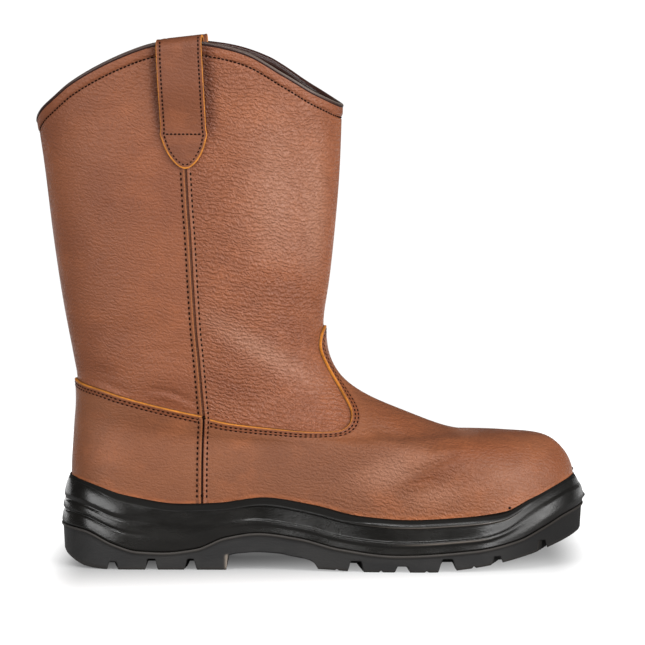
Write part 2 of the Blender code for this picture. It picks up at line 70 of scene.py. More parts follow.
# Collar line against the plain wave: share from front to back, rise on the outer and inner side
COLLAR_TRIM = np.array((
    (0.0, 0.0, 0.0), (0.05, -0.7, -0.8), (0.12, -2.1, -1.7), (0.2, -2.2, -0.6), (0.24, -1.6, 0.0),
    (0.3, -0.4, 0.0), (0.4, 0.0, 0.0), (0.52, 1.7, 1.0), (0.62, 2.7, 1.7), (0.7, 2.2, 1.5),
    (0.79, 1.45, 1.0), (0.885, 0.3, 0.2), (0.95, -1.3, -1.0), (0.985, -0.7, -0.6), (1.0, 0.0, 0.0),
))

# Sole plan: station, outer and inner half widths before the ends are rounded
PLAN = np.array((
    (0.0, 38.0, 38.0), (40.0, 39.0, 39.0), (80.0, 39.5, 38.0), (115.0, 41.0, 36.5),
    (150.0, 46.0, 40.0), (185.0, 52.0, 47.0), (215.0, 54.5, 51.0), (245.0, 54.0, 51.5),
    (275.0, 51.0, 50.0), (306.2, 48.0, 48.0),
))

# Heights along the sole: station, height
FEATHER = np.array((
    (7.0, 52.6), (15.0, 50.4), (43.0, 42.5), (71.0, 38.5), (92.0, 39.1), (120.0, 42.4),
    (147.0, 38.8), (175.0, 32.6), (203.0, 30.5), (230.0, 31.6), (258.0, 34.8), (272.0, 41.1),
    (286.0, 46.8), (299.0, 52.0),
))
PARTING = np.array((
    (0.0, 24.6), (14.7, 22.6), (32.0, 15.0), (46.0, 10.9), (61.0, 10.2), (80.0, 12.4),
    (97.0, 19.0), (116.0, 21.8), (140.0, 19.1), (163.0, 13.6), (196.0, 10.0), (240.0, 12.6),
    (266.0, 17.8), (281.0, 24.6), (294.0, 31.2), (306.2, 35.5),
))
FLOOR = np.array((
    (0.0, 31.0), (60.0, 30.0), (115.0, 28.0), (160.0, 22.5), (205.0, 20.0), (250.0, 21.5),
    (306.2, 28.0),
))
TRAY = np.array((
    (0.0, 15.0), (32.0, 11.5), (46.0, 9.8), (61.0, 9.5), (80.0, 11.0), (97.0, 16.0),
    (116.0, 17.5), (140.0, 15.5), (163.0, 11.5), (196.0, 9.2), (240.0, 11.0), (266.0, 15.5),
    (281.0, 19.6), (306.2, 25.0),
))
GROUND = np.array((
    (0.0, 10.0), (6.0, 5.4), (16.0, 1.2), (28.0, 0.0), (100.0, 0.0), (150.0, 1.2), (178.0, 0.0),
    (216.0, 0.0), (238.0, 2.0), (256.0, 5.0), (273.0, 9.0), (290.0, 14.5), (306.2, 20.5),
))

# Side lines of the midsole, from the parting line up: share of the height, then how
# far in from the plan, in pairs at the heel, under the waist, at the forefoot and the toe
SIDE = np.array((
    (0.04, 0.4, 0.05, 0.6, 0.04, 0.85, 0.05, 0.5),
    (0.11, 0.6, 0.13, 0.4, 0.10, 1.1, 0.22, 0.1),
    (0.24, 1.3, 0.24, 0.2, 0.18, 1.3, 0.40, 0.5),
    (0.29, 2.0, 0.33, 0.2, 0.27, 0.4, 0.58, 1.3),
    (0.34, 1.2, 0.42, 0.3, 0.33, 0.6, 0.64, 1.9),
    (0.44, 1.5, 0.52, 0.5, 0.41, 1.6, 0.70, 2.6),
    (0.52, 2.4, 0.62, 0.8, 0.60, 2.1, 0.77, 3.2),
    (0.60, 1.9, 0.72, 1.0, 0.74, 2.4, 0.84, 3.8),
    (0.78, 2.8, 0.82, 1.1, 0.785, 0.95, 0.90, 4.4),
    (0.90, 3.9, 0.90, 1.3, 0.845, 1.3, 0.945, 4.85),
    (0.96, 4.8, 0.96, 1.9, 0.93, 2.3, 0.975, 5.25),
))

# How far in the midsole's rim and foot lie at the heel, waist, forefoot and toe
RIM_IN = (5.4, 3.6, 3.4, 5.7)
FOOT_IN = (0.75, 0.75, 0.8, 0.75)

# How far the rim lies under the feather line: station, drop
RIM_DROP = np.array((
    (0.0, 0.0), (25.0, 0.2), (40.0, 0.6), (110.0, 0.3), (140.0, 0.7), (160.0, 1.0), (185.0, 0.7),
    (225.0, 0.6), (245.0, 0.9), (260.0, 1.5), (276.0, 1.0), (290.0, 0.3), (306.2, 0.0),
))

# Moulding nub at the toe: height, way out, half width, half height
TOE_NUB = (39.1, 1.3, 2.4, 1.5)

# Rings of the upper, feather to collar
RING_COLUMNS = (
    "front_s", "front_z", "back_s", "back_z", "half", "foot",
    "inset", "nose", "tail", "wave", "sag", "rise",
)
RINGS = np.array((
    (297.0, 27.5, 9.3, 31.0, 39.0, 1.00, 7.4, 61.0, 36.0, 1.00, 0.0, 0.00),
    (298.3, 51.8, 7.8, 53.5, 39.0, 1.00, 6.9, 62.0, 36.0, 1.00, 0.0, 0.00),
    (297.2, 58.2, 7.9, 61.0, 39.0, 1.00, 6.9, 64.0, 36.0, 0.82, 0.0, 0.00),
    (293.8, 65.6, 8.3, 68.0, 39.0, 1.00, 7.2, 70.0, 37.0, 0.55, 2.0, 0.00),
    (281.8, 76.0, 8.9, 76.0, 39.0, 1.00, 8.2, 88.0, 39.0, 0.25, 5.0, 0.00),
    (259.5, 77.3, 9.4, 83.0, 39.0, 0.90, 9.5, 110.0, 41.0, 0.08, 6.0, 0.00),
    (235.0, 75.6, 9.9, 89.0, 39.0, 0.75, 10.0, 125.0, 44.0, 0.00, 6.0, 0.00),
    (202.3, 87.0, 10.3, 95.0, 39.5, 0.55, 10.0, 130.0, 48.0, 0.00, 5.0, 0.00),
    (176.9, 97.6, 10.2, 103.0, 40.0, 0.35, 10.0, 115.0, 54.0, 0.00, 4.0, 0.00),
    (160.8, 110.4, 9.0, 113.0, 40.5, 0.20, 10.0, 95.0, 60.0, 0.00, 2.0, 0.00),
    (154.0, 127.0, 6.3, 128.0, 41.0, 0.08, 10.0, 82.0, 66.0, 0.00, 0.0, 0.00),
    (153.4, 143.0, 3.0, 145.0, 42.0, 0.00, 10.0, 78.0, 72.0, 0.00, 0.0, 0.00),
    (156.5, 162.0, -0.2, 164.0, 43.2, 0.00, 10.0, 80.0, 76.0, 0.00, 0.0, 0.00),
    (160.3, 197.0, -5.0, 198.0, 44.7, 0.00, 10.0, 84.0, 80.0, 0.00, 0.0, 0.10),
    (163.2, 232.0, -8.8, 231.0, 45.4, 0.00, 10.0, 87.0, 84.0, 0.00, 0.0, 0.42),
    (164.4, 267.2, -12.9, 258.1, 45.4, 0.00, 10.0, 89.0, 86.0, 0.00, 0.0, 1.00),
))
COLLAR = len(RINGS) - 1

# Edges of the overlays and the side seam in side view: station, height
TONGUE_TIP = 139.5
VAMP_EDGE = np.array((
    (151.2, 126.0), (155.5, 115.5), (160.4, 107.0), (165.2, 99.0), (168.7, 92.8),
    (169.7, 87.2), (167.4, 82.4), (161.4, 79.8), (146.0, 79.6), (128.0, 81.4), (111.0, 83.3),
    (97.0, 85.3), (86.0, 88.0),
))
COUNTER_EDGE = np.array((
    (86.0, 88.8), (70.9, 92.0), (53.6, 96.1), (36.2, 100.6), (24.6, 104.1), (15.0, 106.4),
))
COUNTER_BACK = 108.8
SEAM_LINE = np.array((
    (83.4, 20.0), (83.5, 50.0), (83.7, 66.0), (84.0, 76.0), (84.5, 86.0), (83.6, 98.5),
    (81.6, 123.0), (80.1, 139.5), (78.6, 164.0), (77.0, 194.0), (75.8, 211.0), (74.8, 230.0),
    (70.8, 306.0),
))

# Heights at which the seam steps off the overlays, behind and in front of it
STEP_BACK = 88.9
STEP_FRONT = 88.0

# Pull loops: heights on the wall, width and thickness, way off the wall, lean and sideways shift
LOOP_TIP = 232.6
LOOP_SQUARE = 252.2
LOOP_HALF = 13.1
LOOP_THICK = 1.7
LOOP_LIE = 0.25
LOOP_OFF = 5.2
LOOP_OFF_START = 252.0
LOOP_OFF_FULL = 284.0
LOOP_TURN = 300.6
LOOP_TILT = 1.5
LOOP_SHIFT = 1.0
LOOP_INSIDE_END = 256.0
LOOP_INSIDE_LIE = 2.5
LOOP_INSIDE_OFF = 3.4
LOOP_HIGHEST = 296.0
LOOP_ROWS = 26

# Underside: arch in side view
ARCH = np.array((
    (97.4, -2.0), (98.4, 7.4), (99.6, 8.8), (106.0, 9.9), (116.0, 10.6), (128.0, 9.9), (134.0, 8.8),
    (139.0, 7.9), (144.5, 6.8), (148.0, 5.2), (150.2, 2.2), (151.6, -2.0),
))

# Side channels of the tread: station, half length at the floor and at the top, height, slant, reach
CHANNELS = np.array((
    (32.0, 3.4, 2.2, 4.6, -5.0, 42.0), (54.1, 3.8, 2.3, 6.5, 0.0, 44.0),
    (76.6, 4.0, 1.9, 6.5, 3.0, 44.0), (172.8, 4.8, 3.2, 6.5, -6.0, 60.0),
    (199.5, 4.8, 2.9, 3.7, -3.0, 60.0), (225.3, 5.6, 3.0, 8.0, 0.0, 60.0),
    (253.6, 4.6, 2.0, 9.2, 5.0, 25.0), (279.4, 3.2, 2.4, 17.0, 12.0, 17.0),
))

# Nicks in the tread's edge: station, half length, depth
NICKS = ((187.0, 1.1, 1.3), (213.4, 1.1, 1.3), (240.5, 1.2, 1.4), (161.5, 1.0, 1.0))

# Cross bars under the ball and the heel: first and last station, way in from the side, station of
# a groove, pitch, sweep over the width, height, and the cosines between which a groove rises
BARS = (
    (156.0, 292.0, 31.0, 186.5, 26.5, 0.9, 3.2, 0.45, 0.75),
    (18.0, 92.0, 23.0, 54.1, 22.4, 0.0, 3.0, 0.5, 0.8),
)

# Rim of the outsole, downwards: way in from the plan, height over the parting line
OUTSOLE_RIM = (
    (2.6, 0.0), (0.55, 0.0), (0.15, -0.25), (0.1, -0.7), (0.25, -1.2), (0.9, -1.7), (1.15, -2.3),
)

# Pitch of the stitches: overlays, seams, collar and straps, across a strap; length of a knot
EDGE_PITCH = 2.9
SEAM_PITCH = 3.1
FINE_PITCH = 2.4
CROSS_PITCH = 2.3
KNOT = 1.8

# Creases of the leather: line in side view, depth, half width, roll beside it
CREASES = (
    (((52.0, 104.6), (58.0, 104.2), (64.6, 103.4), (70.3, 100.8), (81.0, 96.0)), -0.8, 1.7, 0.6),
    (((16.1, 108.9), (25.2, 107.6), (33.2, 105.3), (42.0, 101.9)), -0.8, 2.6, 0.5),
    (((53.0, 129.2), (58.0, 128.3), (64.7, 127.9), (71.0, 129.8)), -0.5, 1.4, 0.5),
    (((50.0, 126.4), (57.0, 125.6), (62.4, 124.5), (73.0, 123.0)), -0.5, 1.5, 0.5),
    (((182.0, 81.0), (188.0, 79.6), (194.0, 77.4), (203.0, 73.2)), -1.2, 2.8, 0.8),
    (((200.0, 54.0), (208.0, 57.8), (218.1, 62.3), (231.0, 67.4)), -1.2, 2.1, 0.7),
    (((201.0, 50.6), (208.0, 52.2), (216.0, 54.0)), -0.6, 1.5, 0.5),
    (((212.0, 70.5), (222.0, 72.2), (234.0, 71.4)), -0.8, 2.2, 0.5),
    (((5.0, 180.0), (18.0, 197.0), (33.0, 214.0)), -0.4, 2.4, 0.7),
    (((9.0, 166.0), (18.0, 176.0), (30.0, 187.0)), -0.3, 2.0, 0.7),
)

# Broad dents and swells: station, height, half length, half height, depth
DENTS = np.array((
    (26.0, 113.0, 12.0, 5.0, -1.0),
    (62.0, 113.0, 16.0, 7.0, 0.7),
    (45.0, 138.0, 22.0, 8.0, -0.6),
    (206.0, 66.0, 9.0, 6.0, 0.8),
    (120.0, 100.0, 20.0, 10.0, -0.7),
    (120.0, 190.0, 26.0, 40.0, 0.6),
    (150.0, 66.0, 22.0, 12.0, 0.5),
))

# Painted sheen and shade with some tone of the hide: station, height, half length, half height, slant,
# amount, above 0 paler as painted sheen, below 0 deeper as painted shade
SHEEN_AND_SHADE_TONES = np.array((
    (127.0, 215.0, 17.0, 48.0, 0.0, 0.65),
    (150.0, 206.0, 8.0, 46.0, 0.0, 0.7),
    (132.0, 160.0, 20.0, 12.0, -0.3, -0.65),
    (118.0, 127.0, 30.0, 8.0, -0.6, 0.75),
    (102.0, 105.0, 20.0, 7.0, -0.5, -0.6),
    (82.0, 190.0, 5.0, 40.0, 0.0, -0.2),
    (61.0, 100.6, 20.0, 3.6, -0.27, -0.6),
    (24.0, 118.0, 14.0, 6.0, -0.3, -0.3),
    (55.0, 135.0, 22.0, 8.0, 0.2, 0.2),
    (40.0, 215.0, 30.0, 30.0, 0.0, -0.12),
    (32.0, 134.0, 26.0, 14.0, 0.0, -0.28),
    (24.0, 272.0, 30.0, 14.0, 0.4, -0.2),
    (150.0, 55.0, 40.0, 12.0, 0.0, 0.12),
    (196.0, 86.0, 24.0, 6.0, -0.4, -0.5),
    (290.0, 60.0, 9.0, 8.0, 0.0, -0.5),
    (194.0, 59.0, 19.0, 10.0, 0.3, 0.75),
    (219.0, 44.0, 16.0, 6.0, 0.15, 0.45),
    (212.0, 54.0, 14.0, 4.0, 0.3, -0.5),
    (264.0, 56.0, 16.0, 5.0, 0.2, 0.2),
    (249.0, 70.0, 24.0, 6.5, -0.1, -0.6),
    (237.5, 79.0, 8.0, 3.0, 0.0, 0.8),
    (228.0, 64.0, 12.0, 4.5, 0.3, -0.35),
    (45.0, 70.0, 26.0, 14.0, 0.0, -0.1),
    (48.0, 190.0, 34.0, 75.0, 0.0, -0.2),
))


def smooth(x, xs, ys):
    """Monotone cubic through the points of a table, flat beyond its ends."""
    x = np.asarray(x, dtype=float)
    step = np.diff(xs)
    rate = np.diff(ys) / step
    slope = np.zeros(len(xs))
    same = rate[:-1] * rate[1:] > 0
    safe = np.where(same, rate[:-1] + rate[1:], 1.0)
    slope[1:-1] = np.where(same, 2.0 * rate[:-1] * rate[1:] / safe, 0.0)
    slope[0] = rate[0]
    slope[-1] = rate[-1]
    x = np.clip(x, xs[0], xs[-1])
    k = np.clip(np.searchsorted(xs, x, side="right") - 1, 0, len(xs) - 2)
    u = (x - xs[k]) / step[k]
    rise = ys[k + 1] - ys[k]
    low = slope[k] * step[k]
    high = slope[k + 1] * step[k]
    return ys[k] + u * (low + u * (3 * rise - 2 * low - high + u * (low + high - 2 * rise)))


def ease(x, low, high):
    """Smooth step from 0 at low to 1 at high."""
    u = np.clip((x - low) / (high - low), 0.0, 1.0)
    return u * u * (3 - 2 * u)


def bell(x, middle, width):
    """Bell curve of height 1 about the middle."""
    return np.exp(-((x - middle) / width) ** 2)


def along(line, s):
    """Height of a line of the sole at station s."""
    return smooth(s, line[:, 0], line[:, 1])


RING_INDEX = np.arange(len(RINGS), dtype=float)
RING_PARTS = 40
RING_FINE = np.linspace(0.0, COLLAR, COLLAR * RING_PARTS + 1)


def soft_column(values):
    """Ring column as a fine curve, averaged above the feather under a bell a third of a ring wide."""
    fine = smooth(RING_FINE, RING_INDEX, values)
    reach = RING_PARTS
    weights = np.exp(-0.5 * (np.arange(-reach, reach + 1) / 13.0) ** 2)
    before = 2 * fine[0] - fine[reach:0:-1]
    after = 2 * fine[-1] - fine[-2:-reach - 2:-1]
    eased = np.convolve(np.concatenate([before, fine, after]), weights / weights.sum(), "valid")
    return fine + (eased - fine) * ease(RING_FINE, 1.0, 2.4)


RING_SOFT = {name: soft_column(RINGS[:, k]) for k, name in enumerate(RING_COLUMNS)}


def ring(v, name):
    """One ring column at ring v."""
    return np.interp(v, RING_FINE, RING_SOFT[name])


def by_side(x, table, side):
    """Value at x from the second column of a table on the outer side, from its third on the inner."""
    lateral = smooth(x, table[:, 0], table[:, 1])
    medial = smooth(x, table[:, 0], table[:, 2])
    return np.where(side < 0, lateral, medial)


def centre(s):
    """Sideways bend of the boot's centre line towards the inner side."""
    return TOE_SWING * np.clip((s - SWING_START) / (SOLE_LENGTH - SWING_START), 0.0, 1.0) ** 2


def rounded(distance, length):
    """Superellipse end: 0 at the tip, 1 beyond the rounded length."""
    u = 1.0 - np.clip(distance / length, 0.0, 1.0)
    return (1.0 - u ** END_POWER) ** (1.0 / END_POWER)


def sole_ring(angle, inward):
    """Plan of the sole moved inward, as (s, y) at each angle (0 toe, pi heel)."""
    t = (1.0 - np.cos(angle)) / 2.0
    side = np.sign(np.sin(angle))
    s = SOLE_LENGTH - inward + (2.0 * inward - SOLE_LENGTH) * t
    ends = rounded(SOLE_LENGTH - inward - s, SOLE_NOSE - inward * 0.5)
    ends = ends * rounded(s - inward, SOLE_TAIL - inward * 0.5)
    return s, centre(s) + side * (by_side(s, PLAN, side) - inward) * ends


def collar_wave(t, side):
    """Rise of the collar's sides over its front and back dips, 0 to 1."""
    front = np.where(side < 0, COLLAR_FRONT_LATERAL, COLLAR_FRONT_MEDIAL)
    power = front + (COLLAR_BACK - front) * t
    return np.clip(np.sin(np.pi * t), 0.0, 1.0) ** power


def upper_skin(v, angle):
    """Bare outer face of the upper at ring v and angle (0 front, pi back)."""
    v, angle = np.broadcast_arrays(np.asarray(v, float), np.asarray(angle, float))
    t = (1.0 - np.cos(angle)) / 2.0
    side = np.sign(np.sin(angle))
    front_s = ring(v, "front_s")
    back_s = ring(v, "back_s")
    s = front_s + (back_s - front_s) * t
    ends = rounded(front_s - s, ring(v, "nose")) * rounded(s - back_s, ring(v, "tail"))
    foot = by_side(s, PLAN, side) - ring(v, "inset")
    half = ring(v, "half")
    half = half + (foot - half) * ring(v, "foot")
    y = centre(s) + side * half * ends
    feather = along(FEATHER, s)
    chord = RINGS[1, 1] + (RINGS[1, 3] - RINGS[1, 1]) * t
    z = ring(v, "front_z") + (ring(v, "back_z") - ring(v, "front_z")) * t
    z = z + ring(v, "wave") * (feather - chord) - ring(v, "sag") * np.sin(np.pi * t)
    edge = COLLAR_RISE * collar_wave(t, side) + by_side(t, COLLAR_TRIM, side)
    z = z + ring(v, "rise") * edge
    seat = along(FLOOR, s) + GAP
    z = np.where(v < 1.0, seat + (feather - seat) * v, z)
    return np.stack([s, y, z], axis=-1)


IN_PLAN = np.array((1.0, 1.0, 0.0))


def unit(vectors):
    """Vectors of length 1."""
    return vectors / np.maximum(np.linalg.norm(vectors, axis=-1, keepdims=True), 1e-9)


def skin_ways(v, angle):
    """Steps of the skin per ring and per radian, and its outward normal."""
    step = 0.02
    low = np.clip(v - step, 0.0, COLLAR)
    high = np.clip(v + step, 0.0, COLLAR)
    by_v = (upper_skin(high, angle) - upper_skin(low, angle)) / (high - low)[..., None]
    by_a = (upper_skin(v, angle + step) - upper_skin(v, angle - step)) / (2.0 * step)
    return by_v, by_a, unit(np.cross(by_a, by_v))


def collar_pace(angles):
    """Length of skin per ring just below the collar."""
    return np.linalg.norm(skin_ways(np.full(angles.shape, COLLAR_NEAR), angles)[0], axis=-1)


def line_distance(s, z, line):
    """Distance to a broken line, share of the way along it and side of it, +1 below."""
    line = np.array(line, float)
    best = np.full(np.shape(s), 1e9)
    share = np.zeros(np.shape(s))
    below = np.zeros(np.shape(s))
    for k in range(len(line) - 1):
        start = line[k]
        way = line[k + 1] - line[k]
        u = np.clip(((s - start[0]) * way[0] + (z - start[1]) * way[1]) / (way @ way), 0.0, 1.0)
        off_s = s - start[0] - u * way[0]
        off_z = z - start[1] - u * way[1]
        distance = np.hypot(off_s, off_z)
        near = distance < best
        best = np.where(near, distance, best)
        share = np.where(near, (k + u) / (len(line) - 1), share)
        below = np.where(near, np.sign(off_s * way[1] - off_z * way[0]), below)
    return best, share, below


def relief(points):
    """Way along the normal: creases, each a bell shaped trough with a roll below it, and broad dents."""
    s = points[..., 0]
    z = points[..., 2]
    out = np.zeros(s.shape)
    for line, depth, width, roll in CREASES:
        distance, share, below = line_distance(s, z, line)
        fade = np.clip(4.0 * share * (1.0 - share), 0.0, 1.0) ** 0.5
        out = out + depth * bell(distance, 0.0, width) * fade
        out = out - depth * roll * bell(distance * below, 1.9 * width, 1.2 * width) * fade
    for mid_s, mid_z, half_s, half_z, depth in DENTS:
        out = out + depth * bell(s, mid_s, half_s) * bell(z, mid_z, half_z)
    return out


def hide_tone(s, z):
    """Painted sheen and shade with some tone of the hide: sum of slanted bells, above 0 paler as painted
    sheen, below 0 deeper as painted shade, less a painted contact shadow along the foot of the leather
    at the heel.
    """
    out = np.zeros(np.shape(s))
    for mid_s, mid_z, half_s, half_z, slant, amount in SHEEN_AND_SHADE_TONES:
        out = out + amount * bell(s, mid_s, half_s) * bell(z - slant * (s - mid_s), mid_z, half_z)
    foot = 1.0 - ease(z - along(FEATHER, s), 0.0, 4.0)
    return np.clip(out - 0.35 * foot * (1.0 - ease(s, 110.0, 150.0)), -1.0, 1.0)


def skin(v, angle, out):
    """Face of the leather: skin, plus its relief and a way out along the normal."""
    v, angle = np.broadcast_arrays(np.asarray(v, float), np.asarray(angle, float))
    points = upper_skin(v, angle)
    normal = skin_ways(v, angle)[2]
    return points + (relief(points) + out)[..., None] * normal, normal


def angle_at(v, s):
    """Angle, front to back, at which ring v passes station s."""
    front = ring(v, "front_s")
    back = ring(v, "back_s")
    return np.arccos(np.clip(1.0 - 2.0 * (front - s) / (front - back), -1.0, 1.0))


def find(s, z, side):
    """Ring and angle of the skin at a side view point, halving the rings towards its height."""
    s, z = np.broadcast_arrays(np.asarray(s, float), np.asarray(z, float))
    low = np.zeros(s.shape)
    high = np.full(s.shape, float(COLLAR))
    for _ in range(34):
        v = (low + high) / 2.0
        above = upper_skin(v, side * angle_at(v, s))[..., 2] > z
        high = np.where(above, v, high)
        low = np.where(above, low, v)
    v = (low + high) / 2.0
    return v, side * angle_at(v, s)


def seam_s(z):
    """Station of the side seam at height z."""
    return smooth(z, SEAM_LINE[:, 1], SEAM_LINE[:, 0])


def round_angles(count):
    """Angles from the toe down the outer side and back up the inner one."""
    return np.concatenate([-np.linspace(0.0, np.pi, count), np.linspace(np.pi, 0.0, count)[1:-1]])


# Middle of the boot in plan
SOLE_SIDES = sole_ring(round_angles(22), 0.0)[1]
MID_S = (SOLE_LENGTH + RINGS[-1, 2]) / 2.0
MID_Y = (SOLE_SIDES.max() + SOLE_SIDES.min()) / 2.0


def placed(points):
    """Millimetre points of the tables in the boot's frame, in metres."""
    return (np.asarray(points, float) - np.array([MID_S, MID_Y, 0.0])) * 0.001


def grid_faces(rows, columns, rows_close=False, columns_close=False):
    """Quads of a grid of rows by columns, joined round where it closes."""
    i = np.arange(rows if rows_close else rows - 1)[:, None]
    j = np.arange(columns if columns_close else columns - 1)[None, :]
    here = i * columns
    there = (i + 1) % rows * columns
    j_next = (j + 1) % columns
    return np.stack([here + j, here + j_next, there + j_next, there + j], axis=-1).reshape(-1, 4)


def piece(name, points, faces, look, node="", values=None, weld=False, close=False):
    """Mesh object at the origin from millimetre points and quads, riding on the boot's one body."""
    shape = points.shape[:-1]
    points = placed(points).reshape(-1, 3)
    mesh = bpy.data.meshes.new(name)
    mesh.vertices.add(len(points))
    mesh.vertices.foreach_set("co", points.astype(np.float32).ravel())
    mesh.loops.add(faces.size)
    mesh.loops.foreach_set("vertex_index", faces.astype(np.int32).ravel())
    mesh.polygons.add(len(faces))
    mesh.polygons.foreach_set("loop_start", np.arange(0, faces.size, 4, dtype=np.int32))
    mesh.update(calc_edges=True)
    for key, value in (values or {}).items():
        layer = mesh.attributes.new(key, "FLOAT", "POINT")
        layer.data.foreach_set("value", np.broadcast_to(value, shape).astype(np.float32).ravel())
    bm = bmesh.new()
    bm.from_mesh(mesh)
    if weld:
        bmesh.ops.remove_doubles(bm, verts=bm.verts[:], dist=2e-6)
    if close:
        rims = [edge for edge in bm.edges if edge.is_boundary]
        bmesh.ops.holes_fill(bm, edges=rims, sides=0)
    bmesh.ops.recalc_face_normals(bm, faces=bm.faces[:])
    bm.to_mesh(mesh)
    bm.free()
    mesh.polygons.foreach_set("use_smooth", np.ones(len(mesh.polygons), dtype=bool))
    mesh.materials.append(look)
    made = bpy.data.objects.new(name, mesh)
    bpy.context.scene.collection.objects.link(made)
    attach(made, "root")
    if node:
        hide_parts(node)


# Shader wiring

class Wiring:
    """Short ways to add and join the nodes of one shader tree, each giving back outputs."""

    def __init__(self, tree):
        self.tree = tree

    def feed(self, socket, value):
        if isinstance(value, bpy.types.NodeSocket):
            self.tree.links.new(value, socket)
        else:
            socket.default_value = value

    def add(self, kind, inputs=None, **settings):
        made = self.tree.nodes.new("ShaderNode" + kind)
        for key, value in settings.items():
            setattr(made, key, value)
        for key, value in (inputs or {}).items():
            self.feed(made.inputs[key], value)
        return made.outputs

    def math(self, operation, *values):
        return self.add("Math", dict(enumerate(values)), operation=operation)[0]

    def vector(self, operation, *values):
        return self.add("VectorMath", dict(enumerate(values)), operation=operation)

    def mix(self, share, first, second):
        return self.add("Mix", {0: share, 6: first, 7: second}, data_type="RGBA")[2]

    def tint(self, colour, other, mask, share):
        return self.mix(self.math("MULTIPLY", mask, share), colour, other)

    def span(self, value, low, high, to_low=0.0, to_high=1.0):
        inputs = dict(enumerate((value, low, high, to_low, to_high)))
        return self.add("MapRange", inputs, interpolation_type="SMOOTHSTEP")[0]

    def scaled(self, vector, scale):
        return self.add("Mapping", {"Vector": vector, "Scale": scale})[0]

    def noise(self, vector, scale, detail, roughness=0.5):
        inputs = {"Vector": vector, "Scale": scale, "Detail": detail, "Roughness": roughness}
        return self.add("TexNoise", inputs)

    def value(self, name):
        return self.add("Attribute", attribute_name=name)["Fac"]


def group(name, inputs, outputs):
    """Empty node group with named sockets, its wiring and both ends; all its outputs are values."""
    tree = bpy.data.node_groups.new(name, "ShaderNodeTree")
    for label, kind in inputs.items():
        tree.interface.new_socket(name=label, in_out="INPUT", socket_type="NodeSocket" + kind)
    for label in outputs:
        tree.interface.new_socket(name=label, in_out="OUTPUT", socket_type="NodeSocketFloat")
    given = tree.nodes.new("NodeGroupInput")
    taken = tree.nodes.new("NodeGroupOutput")
    return tree, Wiring(tree), given.outputs, taken.inputs


def grain_group():
    """Wrinkled hide: flat cells, ripples as a sine of the height with a shaken phase, fine pebbles."""
    inputs = {"Vector": "Vector", "Wrinkle": "Float"}
    tree, w, given, taken = group("hide_grain", inputs, ("Height", "Crease", "Pebble"))
    sway = w.noise(given["Vector"], 45.0, 2.0)["Color"]
    sway = w.vector("SUBTRACT", sway, (0.5, 0.5, 0.5))[0]
    sway = w.vector("MULTIPLY", sway, (0.004, 0.004, 0.008))[0]
    bent = w.vector("ADD", given["Vector"], sway)[0]
    tilted = w.add("Mapping", {"Vector": bent, "Rotation": (0.0, -0.16, 0.0)})[0]
    shift = w.noise(w.scaled(tilted, (620.0, 620.0, 330.0)), 1.0, 1.0)[0]
    height = w.add("SeparateXYZ", {0: tilted})[2]
    turn = w.math("MULTIPLY_ADD", height, 2500.0, w.math("MULTIPLY", shift, 10.0))
    folds = w.math("MULTIPLY_ADD", w.math("SINE", turn), 0.5, 0.5)
    inputs = {"Vector": w.scaled(tilted, (250.0, 250.0, 560.0)), "Scale": 1.0}
    cells = w.add("TexVoronoi", inputs, feature="DISTANCE_TO_EDGE")
    pillow = w.span(cells["Distance"], 0.0, 0.32)
    ripple = w.math("MULTIPLY_ADD", folds, 0.55, w.math("MULTIPLY", pillow, 0.45))
    pebble = w.noise(w.scaled(bent, (700.0, 700.0, 950.0)), 1.0, 2.0, 0.6)[0]
    wrinkled = w.math("MULTIPLY", ripple, given["Wrinkle"])
    w.feed(taken["Height"], w.math("MULTIPLY_ADD", pebble, 0.8, wrinkled))
    w.feed(taken["Crease"], w.math("MULTIPLY", w.span(ripple, 0.5, 0.15), given["Wrinkle"]))
    w.feed(taken["Pebble"], w.span(pebble, 0.55, 0.35))
    return tree


def tone_group():
    """Slow drift of a hide's colour, a patchy tint and fine flecks."""
    tree, w, given, taken = group("hide_tone", {"Vector": "Vector"}, ("Drift", "Tint", "Fleck"))
    drift = w.noise(w.scaled(given["Vector"], (14.0, 14.0, 22.0)), 1.0, 3.0, 0.6)[0]
    w.feed(taken["Drift"], w.span(drift, 0.3, 0.7))
    tint = w.noise(w.scaled(given["Vector"], (38.0, 38.0, 52.0)), 1.0, 3.0, 0.65)[0]
    w.feed(taken["Tint"], w.span(tint, 0.45, 0.75))
    fleck = w.noise(given["Vector"], 420.0, 2.0, 0.6)[0]
    w.feed(taken["Fleck"], w.span(fleck, 0.62, 0.78))
    return tree


def fibre_group():
    """Fine short fibres, for cut edges, cloth and rubber bloom."""
    inputs = {"Vector": "Vector", "Scale": "Float"}
    tree, w, given, taken = group("fine_fibre", inputs, ("Height", "Patch"))
    w.feed(taken["Height"], w.noise(given["Vector"], given["Scale"], 3.0, 0.65)[0])
    coarse = w.math("MULTIPLY", given["Scale"], 0.08)
    broad = w.noise(given["Vector"], coarse, 3.0, 0.6)[0]
    w.feed(taken["Patch"], w.span(broad, 0.35, 0.7))
    return tree


GRAIN = grain_group()
TONE = tone_group()
FIBRE = fibre_group()


def use(w, tree, inputs):
    """Place a node group in a material."""
    made = w.tree.nodes.new("ShaderNodeGroup")
    made.node_tree = tree
    for key, value in inputs.items():
        w.feed(made.inputs[key], value)
    return made.outputs


def material(name):
    """New material: its wiring, the sockets of its shader, and Object coordinates."""
    made = bpy.data.materials.new(name)
    made.use_nodes = True
    w = Wiring(made.node_tree)
    shader = made.node_tree.nodes["Principled BSDF"].inputs
    return made, w, shader, w.add("TexCoord")["Object"]


def bump(w, shader, strength, depth, height):
    """Bump of a height on a shader's normal."""
    made = w.add("Bump", {"Strength": strength, "Distance": depth, "Height": height})
    w.feed(shader["Normal"], made[0])


def shaded(colour, by):
    """A colour made darker or lighter by a factor."""
    return tuple(c * by for c in colour[:3]) + (1.0,)
